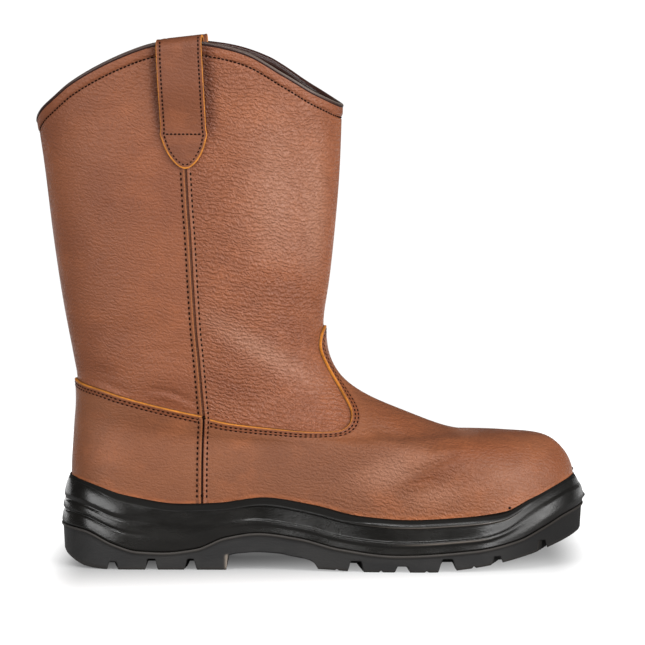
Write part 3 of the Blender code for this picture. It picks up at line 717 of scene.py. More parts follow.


# Mixing colours: a brown for painted shade in the grain's creases, a pale tan for painted sheen and
# paler hide, a deep tan for painted shade and deeper hide, a brown for seam lines and painted shade, a
# grey for rubbed rubber and painted highlights.
CREASE_SHADE_BROWN = (0.10, 0.028, 0.011, 1.0)
SHEEN_AND_PALE_TAN = (0.316, 0.145, 0.088, 1.0)
SHADE_AND_DEEP_TAN = (0.165, 0.046, 0.016, 1.0)
SEAM_AND_SHADE_BROWN = (0.026, 0.0055, 0.003, 1.0)
WEAR_AND_HIGHLIGHT_GREY = (0.20, 0.165, 0.135, 1.0)


def leather(name, body, deep, bright, raw_colour, depth, shine):
    """Oiled hide: drifting brown, paler as painted sheen and deeper as painted shade by the piece's pale
    value, darker in the grain's creases as painted shade, warmer where the piece marks wear and painted
    light, raw, and dark where the piece marks seam lines and painted shade.
    """
    made, w, shader, place = material(name)
    grain = use(w, GRAIN, {"Vector": place, "Wrinkle": w.value("grain")})
    tone = use(w, TONE, {"Vector": place})
    fibre = use(w, FIBRE, {"Vector": place, "Scale": 1500.0})
    pale = w.value("pale")
    raw = w.value("raw")
    colour = w.mix(tone["Drift"], deep, body)
    colour = w.tint(colour, bright, tone["Tint"], 0.3)
    # Paler as painted sheen where pale is above 0, deeper as painted shade where it is below.
    colour = w.mix(w.math("MAXIMUM", pale, 0.0), colour, SHEEN_AND_PALE_TAN)
    colour = w.mix(w.math("MAXIMUM", w.math("MULTIPLY", pale, -1.0), 0.0), colour, SHADE_AND_DEEP_TAN)
    # Painted shade in the grain's creases and between its pebbles.
    colour = w.tint(colour, CREASE_SHADE_BROWN, grain["Crease"], 0.3)
    colour = w.tint(colour, CREASE_SHADE_BROWN, grain["Pebble"], 0.14)
    colour = w.tint(colour, bright, tone["Fleck"], 0.15)
    patchy = w.math("MULTIPLY_ADD", fibre["Patch"], 0.6, 0.4)
    # Warmer where the piece marks wear and painted light.
    colour = w.tint(colour, bright, w.value("wear_and_painted_light"), patchy)
    colour = w.mix(raw, colour, w.mix(fibre["Patch"], raw_colour, shaded(raw_colour, 0.62)))
    # Dark seam lines and painted shade where the piece marks them.
    colour = w.mix(w.value("dark"), colour, SEAM_AND_SHADE_BROWN)
    w.feed(shader["Base Color"], colour)
    rough = w.math("MULTIPLY_ADD", tone["Drift"], -0.06, 0.5)
    rough = w.math("MULTIPLY_ADD", grain["Crease"], 0.15, rough)
    w.feed(shader["Roughness"], w.math("MULTIPLY_ADD", raw, 0.3, rough))
    shader["Specular IOR Level"].default_value = shine
    bump(w, shader, 1.0, depth, w.math("MULTIPLY_ADD", fibre["Height"], 0.08, grain["Height"]))
    return made


def rubber(name, body, bloom, rough, shine, depth):
    """Moulded rubber: dark body, faint bloom in patches, pale grey where the piece marks wear and
    painted highlights, rougher and darker through metal where it marks a matte finish and painted shade.
    """
    made, w, shader, place = material(name)
    fibre = use(w, FIBRE, {"Vector": w.scaled(place, (0.4, 1.0, 1.0)), "Scale": 900.0})
    wear_and_painted_light = w.value("wear_and_painted_light")
    matte_and_shade = w.value("matte_and_shade")
    colour = w.tint(body, bloom, fibre["Patch"], 0.5)
    # Pale grey for wear and painted highlights; metal and roughness below make a matte finish and
    # painted shade.
    w.feed(shader["Base Color"], w.mix(wear_and_painted_light, colour, WEAR_AND_HIGHLIGHT_GREY))
    w.feed(shader["Metallic"], w.math("MULTIPLY", matte_and_shade, 0.7))
    rough = w.math("MULTIPLY_ADD", wear_and_painted_light, 0.25, rough)
    rough = w.math("MULTIPLY_ADD", matte_and_shade, 0.45, rough)
    w.feed(shader["Roughness"], w.math("MULTIPLY_ADD", fibre["Patch"], 0.1, rough))
    shader["Specular IOR Level"].default_value = shine
    bump(w, shader, 0.3, depth, fibre["Height"])
    return made


def cloth(name, body, pale, rib):
    """Ribbed cloth: a sine of the piece's own drop value gives the height and shade of its ribs."""
    made, w, shader, place = material(name)
    fibre = use(w, FIBRE, {"Vector": place, "Scale": 1800.0})
    wave = w.math("SINE", w.math("MULTIPLY", w.value("drop"), rib))
    wave = w.math("MULTIPLY_ADD", wave, 0.5, 0.5)
    colour = w.tint(body, pale, wave, 0.7)
    w.feed(shader["Base Color"], w.tint(colour, body, fibre["Patch"], 0.3))
    shader["Roughness"].default_value = 0.9
    bump(w, shader, 0.6, 0.0004, w.math("MULTIPLY_ADD", fibre["Height"], 0.4, wave))
    return made


def thread(name, body):
    """Waxed thread: dark, with a twist of fine fibres."""
    made, w, shader, place = material(name)
    fibre = use(w, FIBRE, {"Vector": place, "Scale": 2600.0})
    w.feed(shader["Base Color"], w.mix(fibre["Patch"], body, shaded(body, 1.9)))
    shader["Roughness"].default_value = 0.85
    shader["Specular IOR Level"].default_value = 0.06
    bump(w, shader, 0.5, 0.0002, fibre["Height"])
    return made


ORANGE_CUT = (0.52, 0.185, 0.02, 1.0)
WARM_TAN = (0.36, 0.115, 0.042, 1.0)
TAN = leather(
    "tan_leather_hide", (0.234, 0.0760, 0.0315, 1.0), (0.186, 0.0570, 0.0238, 1.0),
    WARM_TAN, ORANGE_CUT, 0.00056, 0.36,
)
SMOOTH_TAN = leather(
    "overlay_leather_hide", (0.213, 0.0765, 0.0335, 1.0), (0.169, 0.0583, 0.0258, 1.0),
    WARM_TAN, ORANGE_CUT, 0.0005, 0.27,
)
STRAP = leather(
    "strap_leather_hide", (0.170, 0.056, 0.0255, 1.0), (0.138, 0.0435, 0.019, 1.0),
    (0.33, 0.105, 0.04, 1.0), ORANGE_CUT, 0.0004, 0.3,
)
BINDING = rubber(
    "binding_tape", (0.030, 0.0105, 0.0075, 1.0), (0.046, 0.019, 0.014, 1.0), 0.2, 0.5, 0.0001,
)
LINING = cloth("ribbed_lining", (0.035, 0.019, 0.015, 1.0), (0.20, 0.112, 0.086, 1.0), 5.2)
FOOTBED = cloth("footbed_felt", (0.07, 0.055, 0.05, 1.0), (0.09, 0.072, 0.062, 1.0), 2.0)
THREAD = thread("dark_thread", (0.006, 0.0019, 0.0012, 1.0))
MIDSOLE = rubber(
    "midsole_satin", (0.0042, 0.0037, 0.0030, 1.0), (0.0085, 0.0076, 0.0062, 1.0), 0.21, 0.5, 0.0003,
)
OUTSOLE = rubber(
    "outsole_matte", (0.0152, 0.0147, 0.0148, 1.0), (0.025, 0.0235, 0.022, 1.0), 0.48, 0.36, 0.0004,
)


# Upper

def grain_map(s, z):
    """Wrinkles of the hide: most on the front of the shaft, some by the collar, least at the back."""
    front = ease(s - seam_s(z), -3.0, 8.0)
    return 0.36 + 0.54 * front + 0.2 * ease(z, 262.0, 290.0) * (1.0 - front)


def build_upper():
    """Closed wall: rows up the outside by ring, a puffed band under the edge, rows down the inside."""
    angles = np.linspace(-np.pi, np.pi, 320, endpoint=False)
    main = np.concatenate([np.arange(FOOT_RING, 12.0, 0.09), np.arange(12.0, 14.45, 0.05)])
    drops = np.array((15.0, 12.5, 10.5, 9.0, 8.0, 7.3, 6.8, 6.3, 5.8, 5.2, 4.4, 3.4, 2.4, 1.4, 0.6, 0.0))
    pace = collar_pace(angles)
    top = COLLAR - drops[:, None] / pace
    between = main[-1] + (top[0] - main[-1]) * np.linspace(0.0, 1.0, 8)[1:-1, None]
    outer = np.concatenate([np.repeat(main[:, None], len(angles), axis=1), between, top])
    inner = np.repeat(np.linspace(COLLAR, FOOT_RING, 44)[:, None], len(angles), axis=1)
    far = np.full(inner.shape, 99.0)
    drop = np.concatenate([(COLLAR - outer) * pace, far])
    out = 0.55 * (1.0 - ease(drop, 4.2, 6.0)) - 0.45 * bell(drop, BAND, 0.8)
    out[len(outer):] = -WALL
    points, _ = skin(np.concatenate([outer, inner]), angles, out)
    s = points[..., 0]
    z = points[..., 2]
    edge = 1.0 - ease(drop, 4.0, 6.4)
    # Beside each strap a band painted deeper and darker as its shade, with more wrinkles.
    beside = np.abs(s - seam_s(z)) - LOOP_HALF
    front = ease(s, seam_s(z) - 2.0, seam_s(z) + 2.0)
    shaded_gutter = bell(beside, 1.0 + 0.8 * front, 2.7 + 1.6 * front)
    shaded_gutter = shaded_gutter * ease(z, LOOP_SQUARE - 8.0, LOOP_SQUARE + 8.0)
    # Down the shaft's front a strip painted deeper and warmer, standing in for the sheen that falls away
    # there.
    shin = bell(angles, 0.0, 0.36) * ease(z, 120.0, 150.0)
    # Tone: painted sheen and shade of the tone bells, painted shade beside the straps, deeper on the
    # puffed band and the front strip; dark marks: painted shade along the collar's stitch line and
    # beside the straps; warmer on the front strip and a little on the band.
    values = {
        "grain": grain_map(s, z) * (1.0 - 0.45 * edge) + 0.4 * shaded_gutter,
        "pale": np.clip(hide_tone(s, z) - 1.2 * shaded_gutter - 0.3 * edge - 0.5 * shin, -1.0, 1.0),
        "wear_and_painted_light": 0.6 * shin * (1.0 - edge) + 0.1 * edge,
        "raw": 0.0,
        "dark": np.maximum(0.35 * bell(drop, BAND, 0.5), 0.3 * shaded_gutter),
    }
    faces = grid_faces(len(points), len(angles), True, True)
    piece("upper_leather", points, faces, TAN, "upper", values)


def build_lining():
    """Thin closed sleeve inside the wall: rows from the collar down to the footbed and back up."""
    angles = np.linspace(-np.pi, np.pi, 160, endpoint=False)
    down = np.concatenate([np.linspace(COLLAR, 14.0, 24), np.linspace(13.8, 0.3, 60)])
    up = np.linspace(0.3, COLLAR, 30)
    rows = np.concatenate([down, up])[:, None]
    out = np.concatenate([np.full(down.shape, -WALL - 0.7), np.full(up.shape, -WALL - 0.1)])[:, None]
    points, _ = skin(rows, angles, out)
    faces = grid_faces(len(rows), len(angles), True, True)
    values = {"drop": (COLLAR - rows) * 58.0}
    piece("lining_sleeve", points, faces, LINING, values=values)


def build_binding():
    """Folded tape over the collar: a rounded hook profile carried round the top of the wall."""
    angles = np.linspace(-np.pi, np.pi, 480, endpoint=False)
    edge = np.full(angles.shape, float(COLLAR))
    base = upper_skin(edge, angles)
    by_v, _, normal = skin_ways(edge, angles)
    profile = np.array((
        (0.45, -0.8), (0.7, -0.1), (0.9, 0.6), (0.75, 1.15), (0.4, 1.6), (-0.15, 1.85),
        (-0.95, 1.95), (-1.75, 1.8), (-2.4, 1.35), (-2.75, 0.6), (-2.85, -0.5), (-2.85, -1.6),
        (-2.8, -2.3), (-2.65, -2.5), (-2.4, -2.2), (-2.15, -1.5), (-1.2, -0.2), (0.0, -0.3),
    ))
    out, rise = profile.T[..., None, None]
    points = base + out * normal + rise * unit(by_v)
    # A painted highlight along the tape's outer roll, brightest at the front; matte and darker where the
    # tape meets the leather, as painted shade.
    wear_and_painted_light = np.zeros((len(profile), 1))
    wear_and_painted_light[2:7, 0] = (0.05, 0.35, 0.95, 0.5, 0.05)
    matte_and_shade = np.zeros((len(profile), 1))
    matte_and_shade[[0, 1, 2, -1], 0] = (1.0, 1.0, 0.3, 1.0)
    front = 0.35 + 0.65 * ease(base[:, 0], 85.0, 140.0)
    faces = grid_faces(len(profile), len(angles), True, True)
    values = {"wear_and_painted_light": wear_and_painted_light * front, "matte_and_shade": matte_and_shade}
    piece("collar_tape", points, faces, BINDING, "collar_binding", values)


# Overlays

def lengths(points):
    """Length along a line up to each of its points."""
    return np.concatenate([[0.0], np.cumsum(np.linalg.norm(np.diff(points, axis=0), axis=1))])


def pick(want, place, table):
    """Rows of a table at the wanted places, straight between its own."""
    return np.stack([np.interp(want, place, column) for column in table.T], axis=1)


def resample(points, count):
    """Points spread evenly by length along a line of parameter points on the skin."""
    length = lengths(upper_skin(points[:, 0], points[:, 1]))
    return pick(np.linspace(0.0, length[-1], count), length, points)


def spline(points, parts):
    """Smooth open line through points, each span a cubic of its four neighbours."""
    ends = np.vstack([2 * points[0] - points[1], points, 2 * points[-1] - points[-2]])
    before, here, there, after = (ends[k:len(ends) - 3 + k, None] for k in range(4))
    u = np.linspace(0.0, 1.0, parts, endpoint=False)[:, None]
    bend = (2 * before - 5 * here + 4 * there - after) * u * u
    twist = (3 * here - before - 3 * there + after) * u ** 3
    line = 0.5 * (2 * here + (there - before) * u + bend + twist)
    return np.vstack([line.reshape(-1, points.shape[1]), points[-1:]])


def inset(line, distance, turn):
    """Line of (ring, angle) moved sideways on the skin, by solving the skin's two steps for the way."""
    by_v, by_a, normal = skin_ways(line[:, 0], line[:, 1])
    run = unit(np.gradient(upper_skin(line[:, 0], line[:, 1]), axis=0))
    way = turn * np.cross(normal, run)
    vv = (by_v * by_v).sum(-1)
    va = (by_v * by_a).sum(-1)
    aa = (by_a * by_a).sum(-1)
    det = np.maximum(vv * aa - va * va, 1e-6)
    wv = (way * by_v).sum(-1)
    wa = (way * by_a).sum(-1)
    step = np.stack([(wv * aa - wa * va) / det, (wa * vv - wv * va) / det], axis=1)
    moved = line + distance * step
    moved[0, 1] = line[0, 1]
    return moved


def vamp_edge(side):
    """Vamp edge from the tongue tip to the seam: half an ellipse, then the drawn line."""
    _, start_a = find(VAMP_EDGE[0, 0], VAMP_EDGE[0, 1], side)
    turn = np.radians(np.array([0.0, 18.0, 36.0, 54.0, 72.0]))
    tip_a = start_a * np.sin(turn)
    tip_z = VAMP_EDGE[0, 1] + (TONGUE_TIP - VAMP_EDGE[0, 1]) * np.cos(turn)
    tip_s = ring(10.6, "front_s") - 0.3
    tip_v = find(tip_s, tip_z, side)[0]
    drawn = np.stack(find(VAMP_EDGE[:, 0], VAMP_EDGE[:, 1], side), axis=1)
    points = np.vstack([np.stack([tip_v, tip_a], axis=1), drawn])
    points[0, 1] = 0.0
    return resample(spline(points, 12), 120)


def counter_edge(side):
    """Counter edge from the middle of the back to the seam."""
    drawn = np.stack(find(COUNTER_EDGE[:, 0], COUNTER_EDGE[:, 1], side), axis=1)[::-1]
    back_v = find(RINGS[9, 2] + 0.2, COUNTER_BACK, side)[0]
    points = np.vstack([[[float(back_v), side * np.pi]], drawn])
    mirror = np.array([[drawn[0, 0], side * (2.0 * np.pi) - drawn[0, 1]]])
    line = spline(np.vstack([mirror, points]), 14)
    start = int(np.argmin(np.abs(line[:, 1] - side * np.pi)))
    line = line[start:]
    line[0, 1] = side * np.pi
    return resample(line, 90)


def patch(top, middle, seam, rows):
    """Patch of (ring, angle) blended between an edge, the middle line, the seam and the hidden foot."""
    count = len(top)
    place = np.linspace(0.0, 1.0, 400)
    length = lengths(upper_skin(top[0, 0] + (FOOT_RING - top[0, 0]) * place, middle))
    share = np.interp(np.linspace(0.0, length[-1], rows), length, place)
    q = np.linspace(0.0, 1.0, count)
    low = np.stack([np.full(count, FOOT_RING), middle + (seam[-1, 1] - middle) * q], axis=1)
    left = np.stack([top[0, 0] + (FOOT_RING - top[0, 0]) * share, np.full(rows, middle)], axis=1)
    right = pick(share * (len(seam) - 1), np.arange(len(seam)), seam)
    down = share[:, None, None]
    q = q[:, None]
    across = (1.0 - down) * top + down * low
    upright = (1.0 - q) * left[:, None] + q * right[:, None]
    corners = (1.0 - down) * ((1.0 - q) * top[0] + q * top[-1])
    corners = corners + down * ((1.0 - q) * low[0] + q * low[-1])
    return across + upright - corners


# Rows of an overlay's edge: way in from the drawn edge, share of the thickness, raw, dark as painted
# shade (a dark flat row outside the edge as its shadow line, and the stitch grooves), tone deeper as
# painted shade along the stitched band
EDGE = np.array((
    (-0.55, 0.04, 0.0, 0.0, 0.0), (-0.05, 0.08, 0.2, 0.9, 0.0), (0.0, 0.2, 1.0, 0.35, 0.0),
    (0.0, 0.55, 1.0, 0.0, 0.0), (0.06, 0.85, 1.0, 0.0, 0.0), (0.22, 0.98, 0.9, 0.0, 0.0),
    (0.5, 1.0, 0.35, 0.0, -0.3), (0.9, 1.02, 0.0, 0.0, -0.5), (1.4, 1.02, 0.0, 0.0, -0.65),
    (1.8, 0.93, 0.0, 0.0, -0.8), (2.1, 0.86, 0.0, 0.3, -0.8), (2.5, 0.95, 0.0, 0.0, -0.8),
    (3.0, 1.02, 0.0, 0.0, -0.75), (3.6, 0.95, 0.0, 0.0, -0.75), (4.0, 0.87, 0.0, 0.2, -0.7),
    (4.3, 0.93, 0.0, 0.2, -0.5), (4.8, 1.0, 0.0, 0.0, -0.2), (5.6, 1.0, 0.0, 0.0, 0.0),
    (7.0, 1.0, 0.0, 0.0, 0.0),
))
EDGE_IN, EDGE_OUT, EDGE_RAW, EDGE_SHADE, EDGE_SHADE_TONE = EDGE.T

# Sewn rows beside an overlay's edge: way in, first stitch as a share of the pitch
SEWN_ROWS = ((2.1, 0.5), (3.9, 0.9))


def seam_foot(top, side, shift):
    """Seam line in (ring, angle), from the end of an edge down to the hidden foot."""
    z = np.linspace(upper_skin(top[0], top[1])[2], upper_skin(FOOT_RING, top[1])[2], 40)
    return np.stack(find(seam_s(z) + shift, z, side), axis=1)


def build_overlay(name, edge_of, middle, turn, shift, rows, grain, node):
    """Overlay of both sides: rows stepped in from the drawn edge, a patch to the foot, then its back."""
    halves = []
    for side in (-1.0, 1.0):
        edge = edge_of(side)
        bands = np.stack([inset(edge, distance, turn * side) for distance in EDGE_IN])
        seam = seam_foot(bands[-1, -1], side, shift)
        body = patch(bands[-1], side * middle, seam, rows)
        halves.append(np.concatenate([bands, body[1:]]))
    lateral = halves[0][:, ::-1]
    medial = halves[1][:, 1:]
    lateral[..., 1] = np.where(lateral[..., 1] < -np.pi + 1e-9, -np.pi, lateral[..., 1])
    if middle > 1.0:
        lateral = lateral + np.array([0.0, 2.0 * np.pi])
    v, angle = np.moveaxis(np.concatenate([lateral, medial], axis=1), -1, 0)
    thick = np.full((len(v), 1), OVERLAY)
    thick[:len(EDGE), 0] = EDGE_OUT * OVERLAY
    bare = upper_skin(v, angle)
    clear = ease(np.abs(bare[..., 0] - seam_s(bare[..., 2])), 0.3, 1.0)
    points, _ = skin(v, angle, thick * clear)
    back = np.unique(np.append(np.arange(1, len(v), 3), len(v) - 1))[::-1]
    under, _ = skin(v[back], angle[back], -0.25)
    whole = np.concatenate([points, under])
    s = whole[..., 0]
    z = whole[..., 2]

    def by_row(values):
        column = np.zeros((len(whole), 1))
        column[:len(values), 0] = values
        return column

    pressed = by_row(np.append(np.full(len(EDGE), 0.8), 0.4))
    feather = 1.0 - ease(z - along(FEATHER, s), 0.5, 1.3)
    # Dark marks: painted shade beside the edge and in the stitch grooves; tone: painted sheen and shade
    # of the tone bells, deeper along the stitched band as painted shade; warmer along the rubbed foot of
    # the leather and towards the toe.
    values = {
        "raw": by_row(EDGE_RAW) * np.concatenate([clear, np.zeros(under.shape[:2])]),
        "dark": by_row(EDGE_SHADE),
        "grain": grain(s) * (1.0 - 0.6 * pressed),
        "pale": np.clip(hide_tone(s, z) + by_row(EDGE_SHADE_TONE), -1.0, 1.0),
        "wear_and_painted_light": np.clip(0.75 * feather + 0.07 * ease(s, 190.0, 250.0), 0.0, 1.0),
    }
    faces = grid_faces(len(whole), whole.shape[1], True, False)
    piece(name, whole, faces, SMOOTH_TAN, node, values, close=True)


def vamp_grain(s):
    """Wrinkles of the vamp: full over the ball of the foot, faint at the toe and beside the seam."""
    return 0.24 + 0.42 * ease(s, 120.0, 190.0) * (1.0 - 0.6 * ease(s, 225.0, 262.0))


def counter_grain(s):
    """Wrinkles of the counter: few and even."""
    return np.full(s.shape, 0.2)


def over_step(z, step, thick):
    """Lift of the seam over the overlays: full below the step, none above it."""
    return thick * (1.0 - ease(z, step - 0.6, step + 0.5))


def build_seam(name, side, node):
    """Seam strip: a profile of two rolls beside a dark cleft, carried up the seam over the overlays."""
    half = np.array((0.12, 0.3, 0.5, 0.9, 1.4, 1.9, 2.4, 2.9, 3.4, 3.9))
    roll = np.array((-0.4, 0.2, 0.6, 0.8, 0.75, 0.5, 0.15, -0.1, 0.02, -0.25))
    across = np.concatenate([-half[::-1], [0.0], half])
    lift = np.concatenate([roll[::-1], [-0.7], roll])
    runs = ((34.0, 82.0, 60), (82.4, 91.0, 44), (92.0, 236.0, 150))
    z = np.concatenate([np.linspace(*run) for run in runs])[:, None]
    v, angle = find(seam_s(z) + across, z, side)
    base = over_step(z, np.where(across < 0, STEP_BACK, STEP_FRONT), OVERLAY + 0.05)
    points, _ = skin(v, angle, base + lift + 0.06)
    under, _ = skin(v[::-1], angle[::-1], -0.4)
    whole = np.concatenate([points, under])
    face = np.repeat((1.0, 0.0), len(z))[:, None]
    # Both rolls painted brighter as their sheen; the cleft dark as the seam line.
    sheen = bell(across, -1.3, 0.6) + 0.6 * bell(across, 1.2, 0.55)
    values = {
        "raw": face * 0.32 * bell(across, -0.8, 0.26),
        "dark": face * np.clip(2.1 * bell(across, 0.05, 0.52), 0.0, 1.0),
        "grain": face * 0.25,
        "pale": face * -0.25,
        "wear_and_painted_light": face * 0.5 * sheen,
    }
    faces = grid_faces(len(whole), len(across), True, False)
    piece(name, whole, faces, SMOOTH_TAN, node, values, close=True)


# Pull loops

def loop_run(*columns):
    """Rows of a pull loop's path from its columns."""
    return np.stack(np.broadcast_arrays(*columns), axis=1)


def loop_path():
    """Path of a pull loop: height on the wall, own height, way off the wall, half width, side shift."""
    bow = np.linspace(0.0, 1.0, LOOP_ROWS, endpoint=False) ** 2
    rise = np.concatenate([
        LOOP_TIP + (LOOP_SQUARE - LOOP_TIP) * bow,
        np.linspace(LOOP_SQUARE, LOOP_TURN, 2 * LOOP_ROWS),
    ])
    u = np.clip((rise - LOOP_TIP) / (LOOP_SQUARE - LOOP_TIP), 0.0, 1.0)
    half = 0.3 + (LOOP_HALF - 0.3) * (1.0 - (1.0 - u) ** 1.6) ** 0.6
    half = half + 0.45 * bell(rise, LOOP_SQUARE, 1.8)
    off = LOOP_LIE + LOOP_OFF * ease(rise, LOOP_OFF_START, LOOP_OFF_FULL)
    outer = LOOP_LIE + LOOP_OFF
    inner = -LOOP_INSIDE_LIE - LOOP_INSIDE_OFF
    turn = np.linspace(0.0, np.pi, 22)[1:-1]
    radius = (outer - inner) / 2.0
    lift = LOOP_TURN + radius * np.sin(turn) ** 0.8
    over = (outer + inner) / 2.0 + radius * np.cos(turn)
    fall = np.linspace(LOOP_TURN, LOOP_INSIDE_END, LOOP_ROWS)
    back = -LOOP_INSIDE_LIE - 0.4 - (LOOP_INSIDE_OFF - 0.4) * ease(fall, 262.0, 292.0)
    return np.concatenate([
        loop_run(rise, rise, off, half, 0.0),
        loop_run(LOOP_TURN, lift, over, LOOP_HALF, LOOP_SHIFT * ease(turn, 0.4, 2.8)),
        loop_run(fall, fall, back, LOOP_HALF, LOOP_SHIFT),
    ])


def loop_place(path, across, side):
    """Strap points at shares across each row of its path: along the seam, off the wall's side."""
    height, rise, off, half, shift = path.T[..., None]
    s = seam_s(height) + half * across + shift
    v, angle = find(s, np.minimum(height, LOOP_HIGHEST), side)
    wall = np.abs(upper_skin(v, angle)[..., 1])
    lean = LOOP_TILT * ease(height, LOOP_OFF_START, LOOP_TURN)
    return np.stack([s, side * (wall + off), rise + lean * across], axis=-1)


def build_loop(name, side, node):
    """Strap: a flat profile with rounded cut edges, carried up the wall, over the collar and down."""
    path = loop_path()
    height, rise, _, half, _ = path.T
    rim = np.array((0.92, 0.955, 0.985))
    face = np.concatenate([-rim[::-1], np.linspace(-0.88, 0.88, 33), rim])
    back = face[::-2]
    end = np.array((0.99, 1.0, 1.0, 0.99))
    fall = np.array((0.96, 0.75, 0.25, 0.05))
    across = np.concatenate([face, end, back, -end])
    lift = np.concatenate([np.ones(len(face)), fall, np.zeros(len(back)), fall[::-1]])
    cut = np.concatenate([np.zeros(len(face)), np.ones(4), np.zeros(len(back)), np.ones(4)])
    rest = np.zeros(len(across) - len(face))
    sewn = (1.0 - np.abs(face)) * LOOP_HALF
    # Darker along the sewn rows: painted shade in the stitch grooves.
    groove = np.concatenate([bell(sewn, 2.1, 0.6), rest])
    dip = np.concatenate([-0.16 * bell(sewn, 2.0, 0.6), rest])
    flat = loop_place(path, np.linspace(-1.0, 1.0, 9), side)
    normal = unit(np.cross(np.gradient(flat, axis=0), np.gradient(flat, axis=1)).mean(axis=1))
    normal = normal * np.sign(normal[10, 1]) * side
    points = loop_place(path, across, side) + (lift * LOOP_THICK + dip)[:, None] * normal[:, None]
    tip = 1.0 - ease(height, LOOP_TIP + 0.5, LOOP_TIP + 1.3)
    wide = np.gradient(half)
    tall = np.where(height < LOOP_SQUARE, np.gradient(rise), 1.0)
    upright = np.abs(tall) / np.maximum(np.hypot(wide, tall), 1e-6)
    inside = half[:, None] * (1.0 - np.abs(face)) * upright[:, None]
    border = (1.15 - 0.55 * ease(height, LOOP_SQUARE - 5.0, LOOP_SQUARE))[:, None]
    shown = np.zeros((len(path), len(across)))
    shown[:, :len(face)] = 1.0 - ease(inside, 0.4 * border, border)
    values = {
        "raw": np.maximum(np.maximum(cut, tip[:, None]), shown),
        "dark": 0.3 * groove,
        "grain": 0.3,
        "pale": 0.0,
        "wear_and_painted_light": 0.0,
    }
    faces = grid_faces(len(path), len(across), False, True)
    piece(name, points, faces, STRAP, node, values, close=True)
    return path, normal


# Thread

def stitch_run(points, normals, pitch, start=0.5):
    """Places, directions and normals every pitch along a line."""
    length = lengths(points)
    want = np.arange(pitch * start, length[-1], pitch)
    way = pick(want + 0.4, length, points) - pick(want - 0.4, length, points)
    return pick(want, length, points), unit(way), unit(pick(want, length, normals))


def build_stitches(name, runs, half_length, radius):
    """Stitches: one low six-sided bead per place, its ends sunk into the leather."""
    here, way, up = (np.concatenate(column)[:, None] for column in zip(*runs))
    across = unit(np.cross(up, way))
    x = np.array((-1.0, -0.82, -0.35, 0.35, 0.82, 1.0))
    thick = np.array((0.35, 0.8, 1.0, 1.0, 0.8, 0.35))
    sink = -0.45 * np.abs(x) ** 3
    sides = 6
    turn = np.linspace(0.0, 2.0 * np.pi, sides, endpoint=False)
    ahead = np.repeat(x * half_length, sides)[:, None]
    aside = np.outer(thick, np.cos(turn)).ravel()[:, None] * radius
    lift = np.outer(thick, np.sin(turn)) * 0.75 * radius + (sink * radius * 2.0)[:, None]
    points = here + ahead * way + aside * across + lift.ravel()[:, None] * up
    tube = grid_faces(len(x), sides, False, True)
    cap = np.array(((0, 1, 2, 3), (0, 3, 4, 5)))
    bead = np.concatenate([tube, cap, cap[:, [0, 3, 2, 1]] + sides * (len(x) - 1)])
    faces = (bead + (np.arange(len(here)) * sides * len(x))[:, None, None]).reshape(-1, 4)
    piece(name, points, faces, THREAD)


def overlay_rows(edge_of, turn):
    """Two rows of thread beside an overlay's edge on both sides."""
    runs = []
    for side in (-1.0, 1.0):
        edge = edge_of(side)
        for distance, start in SEWN_ROWS:
            line = inset(edge, distance, turn * side)
            points, normals = skin(line[:, 0], line[:, 1], OVERLAY * 0.9)
            runs.append(stitch_run(points, normals, EDGE_PITCH, start))
    return runs


def seam_rows():
    """One row of thread each side of both side seams."""
    runs = []
    z = np.linspace(41.0, 231.0, 300)
    for side in (-1.0, 1.0):
        for shift, step in ((-2.9, STEP_BACK), (2.7, STEP_FRONT)):
            v, angle = find(seam_s(z) + shift, z, side)
            points, normals = skin(v, angle, over_step(z, step, OVERLAY + 0.1) + 0.12)
            runs.append(stitch_run(points, normals, SEAM_PITCH))
    return runs


def knot(s, z, out, side):
    """One upright knot on the leather."""
    v, angle = find(s, z, side)
    points, normals = skin(v, angle, out)
    return stitch_run(points, normals, KNOT)


def knot_rows():
    """Knots where each seam meets the overlays and the sole, and two dark specks on the toe line."""
    tall = np.linspace(-KNOT / 2.0, KNOT / 2.0, 7)
    past_toe = 400.0
    runs = []
    for side in (-1.0, 1.0):
        for middle, out in ((88.4, 2.0), (43.0, OVERLAY + 0.5)):
            z = middle + tall
            runs.append(knot(seam_s(z) + 0.15, z, out, side))
    for s, middle, out in ((260.6, 36.4, OVERLAY - 0.35), (past_toe, 54.4, OVERLAY - 0.1)):
        runs.append(knot(s, middle + tall, out, -1.0))
    return runs


def collar_rows():
    """One row of thread round the collar, below the puffed band."""
    angles = np.linspace(-np.pi, np.pi, 500)
    points, normals = skin(COLLAR - BAND / collar_pace(angles), angles, -0.25)
    return [stitch_run(points, normals, FINE_PITCH)]


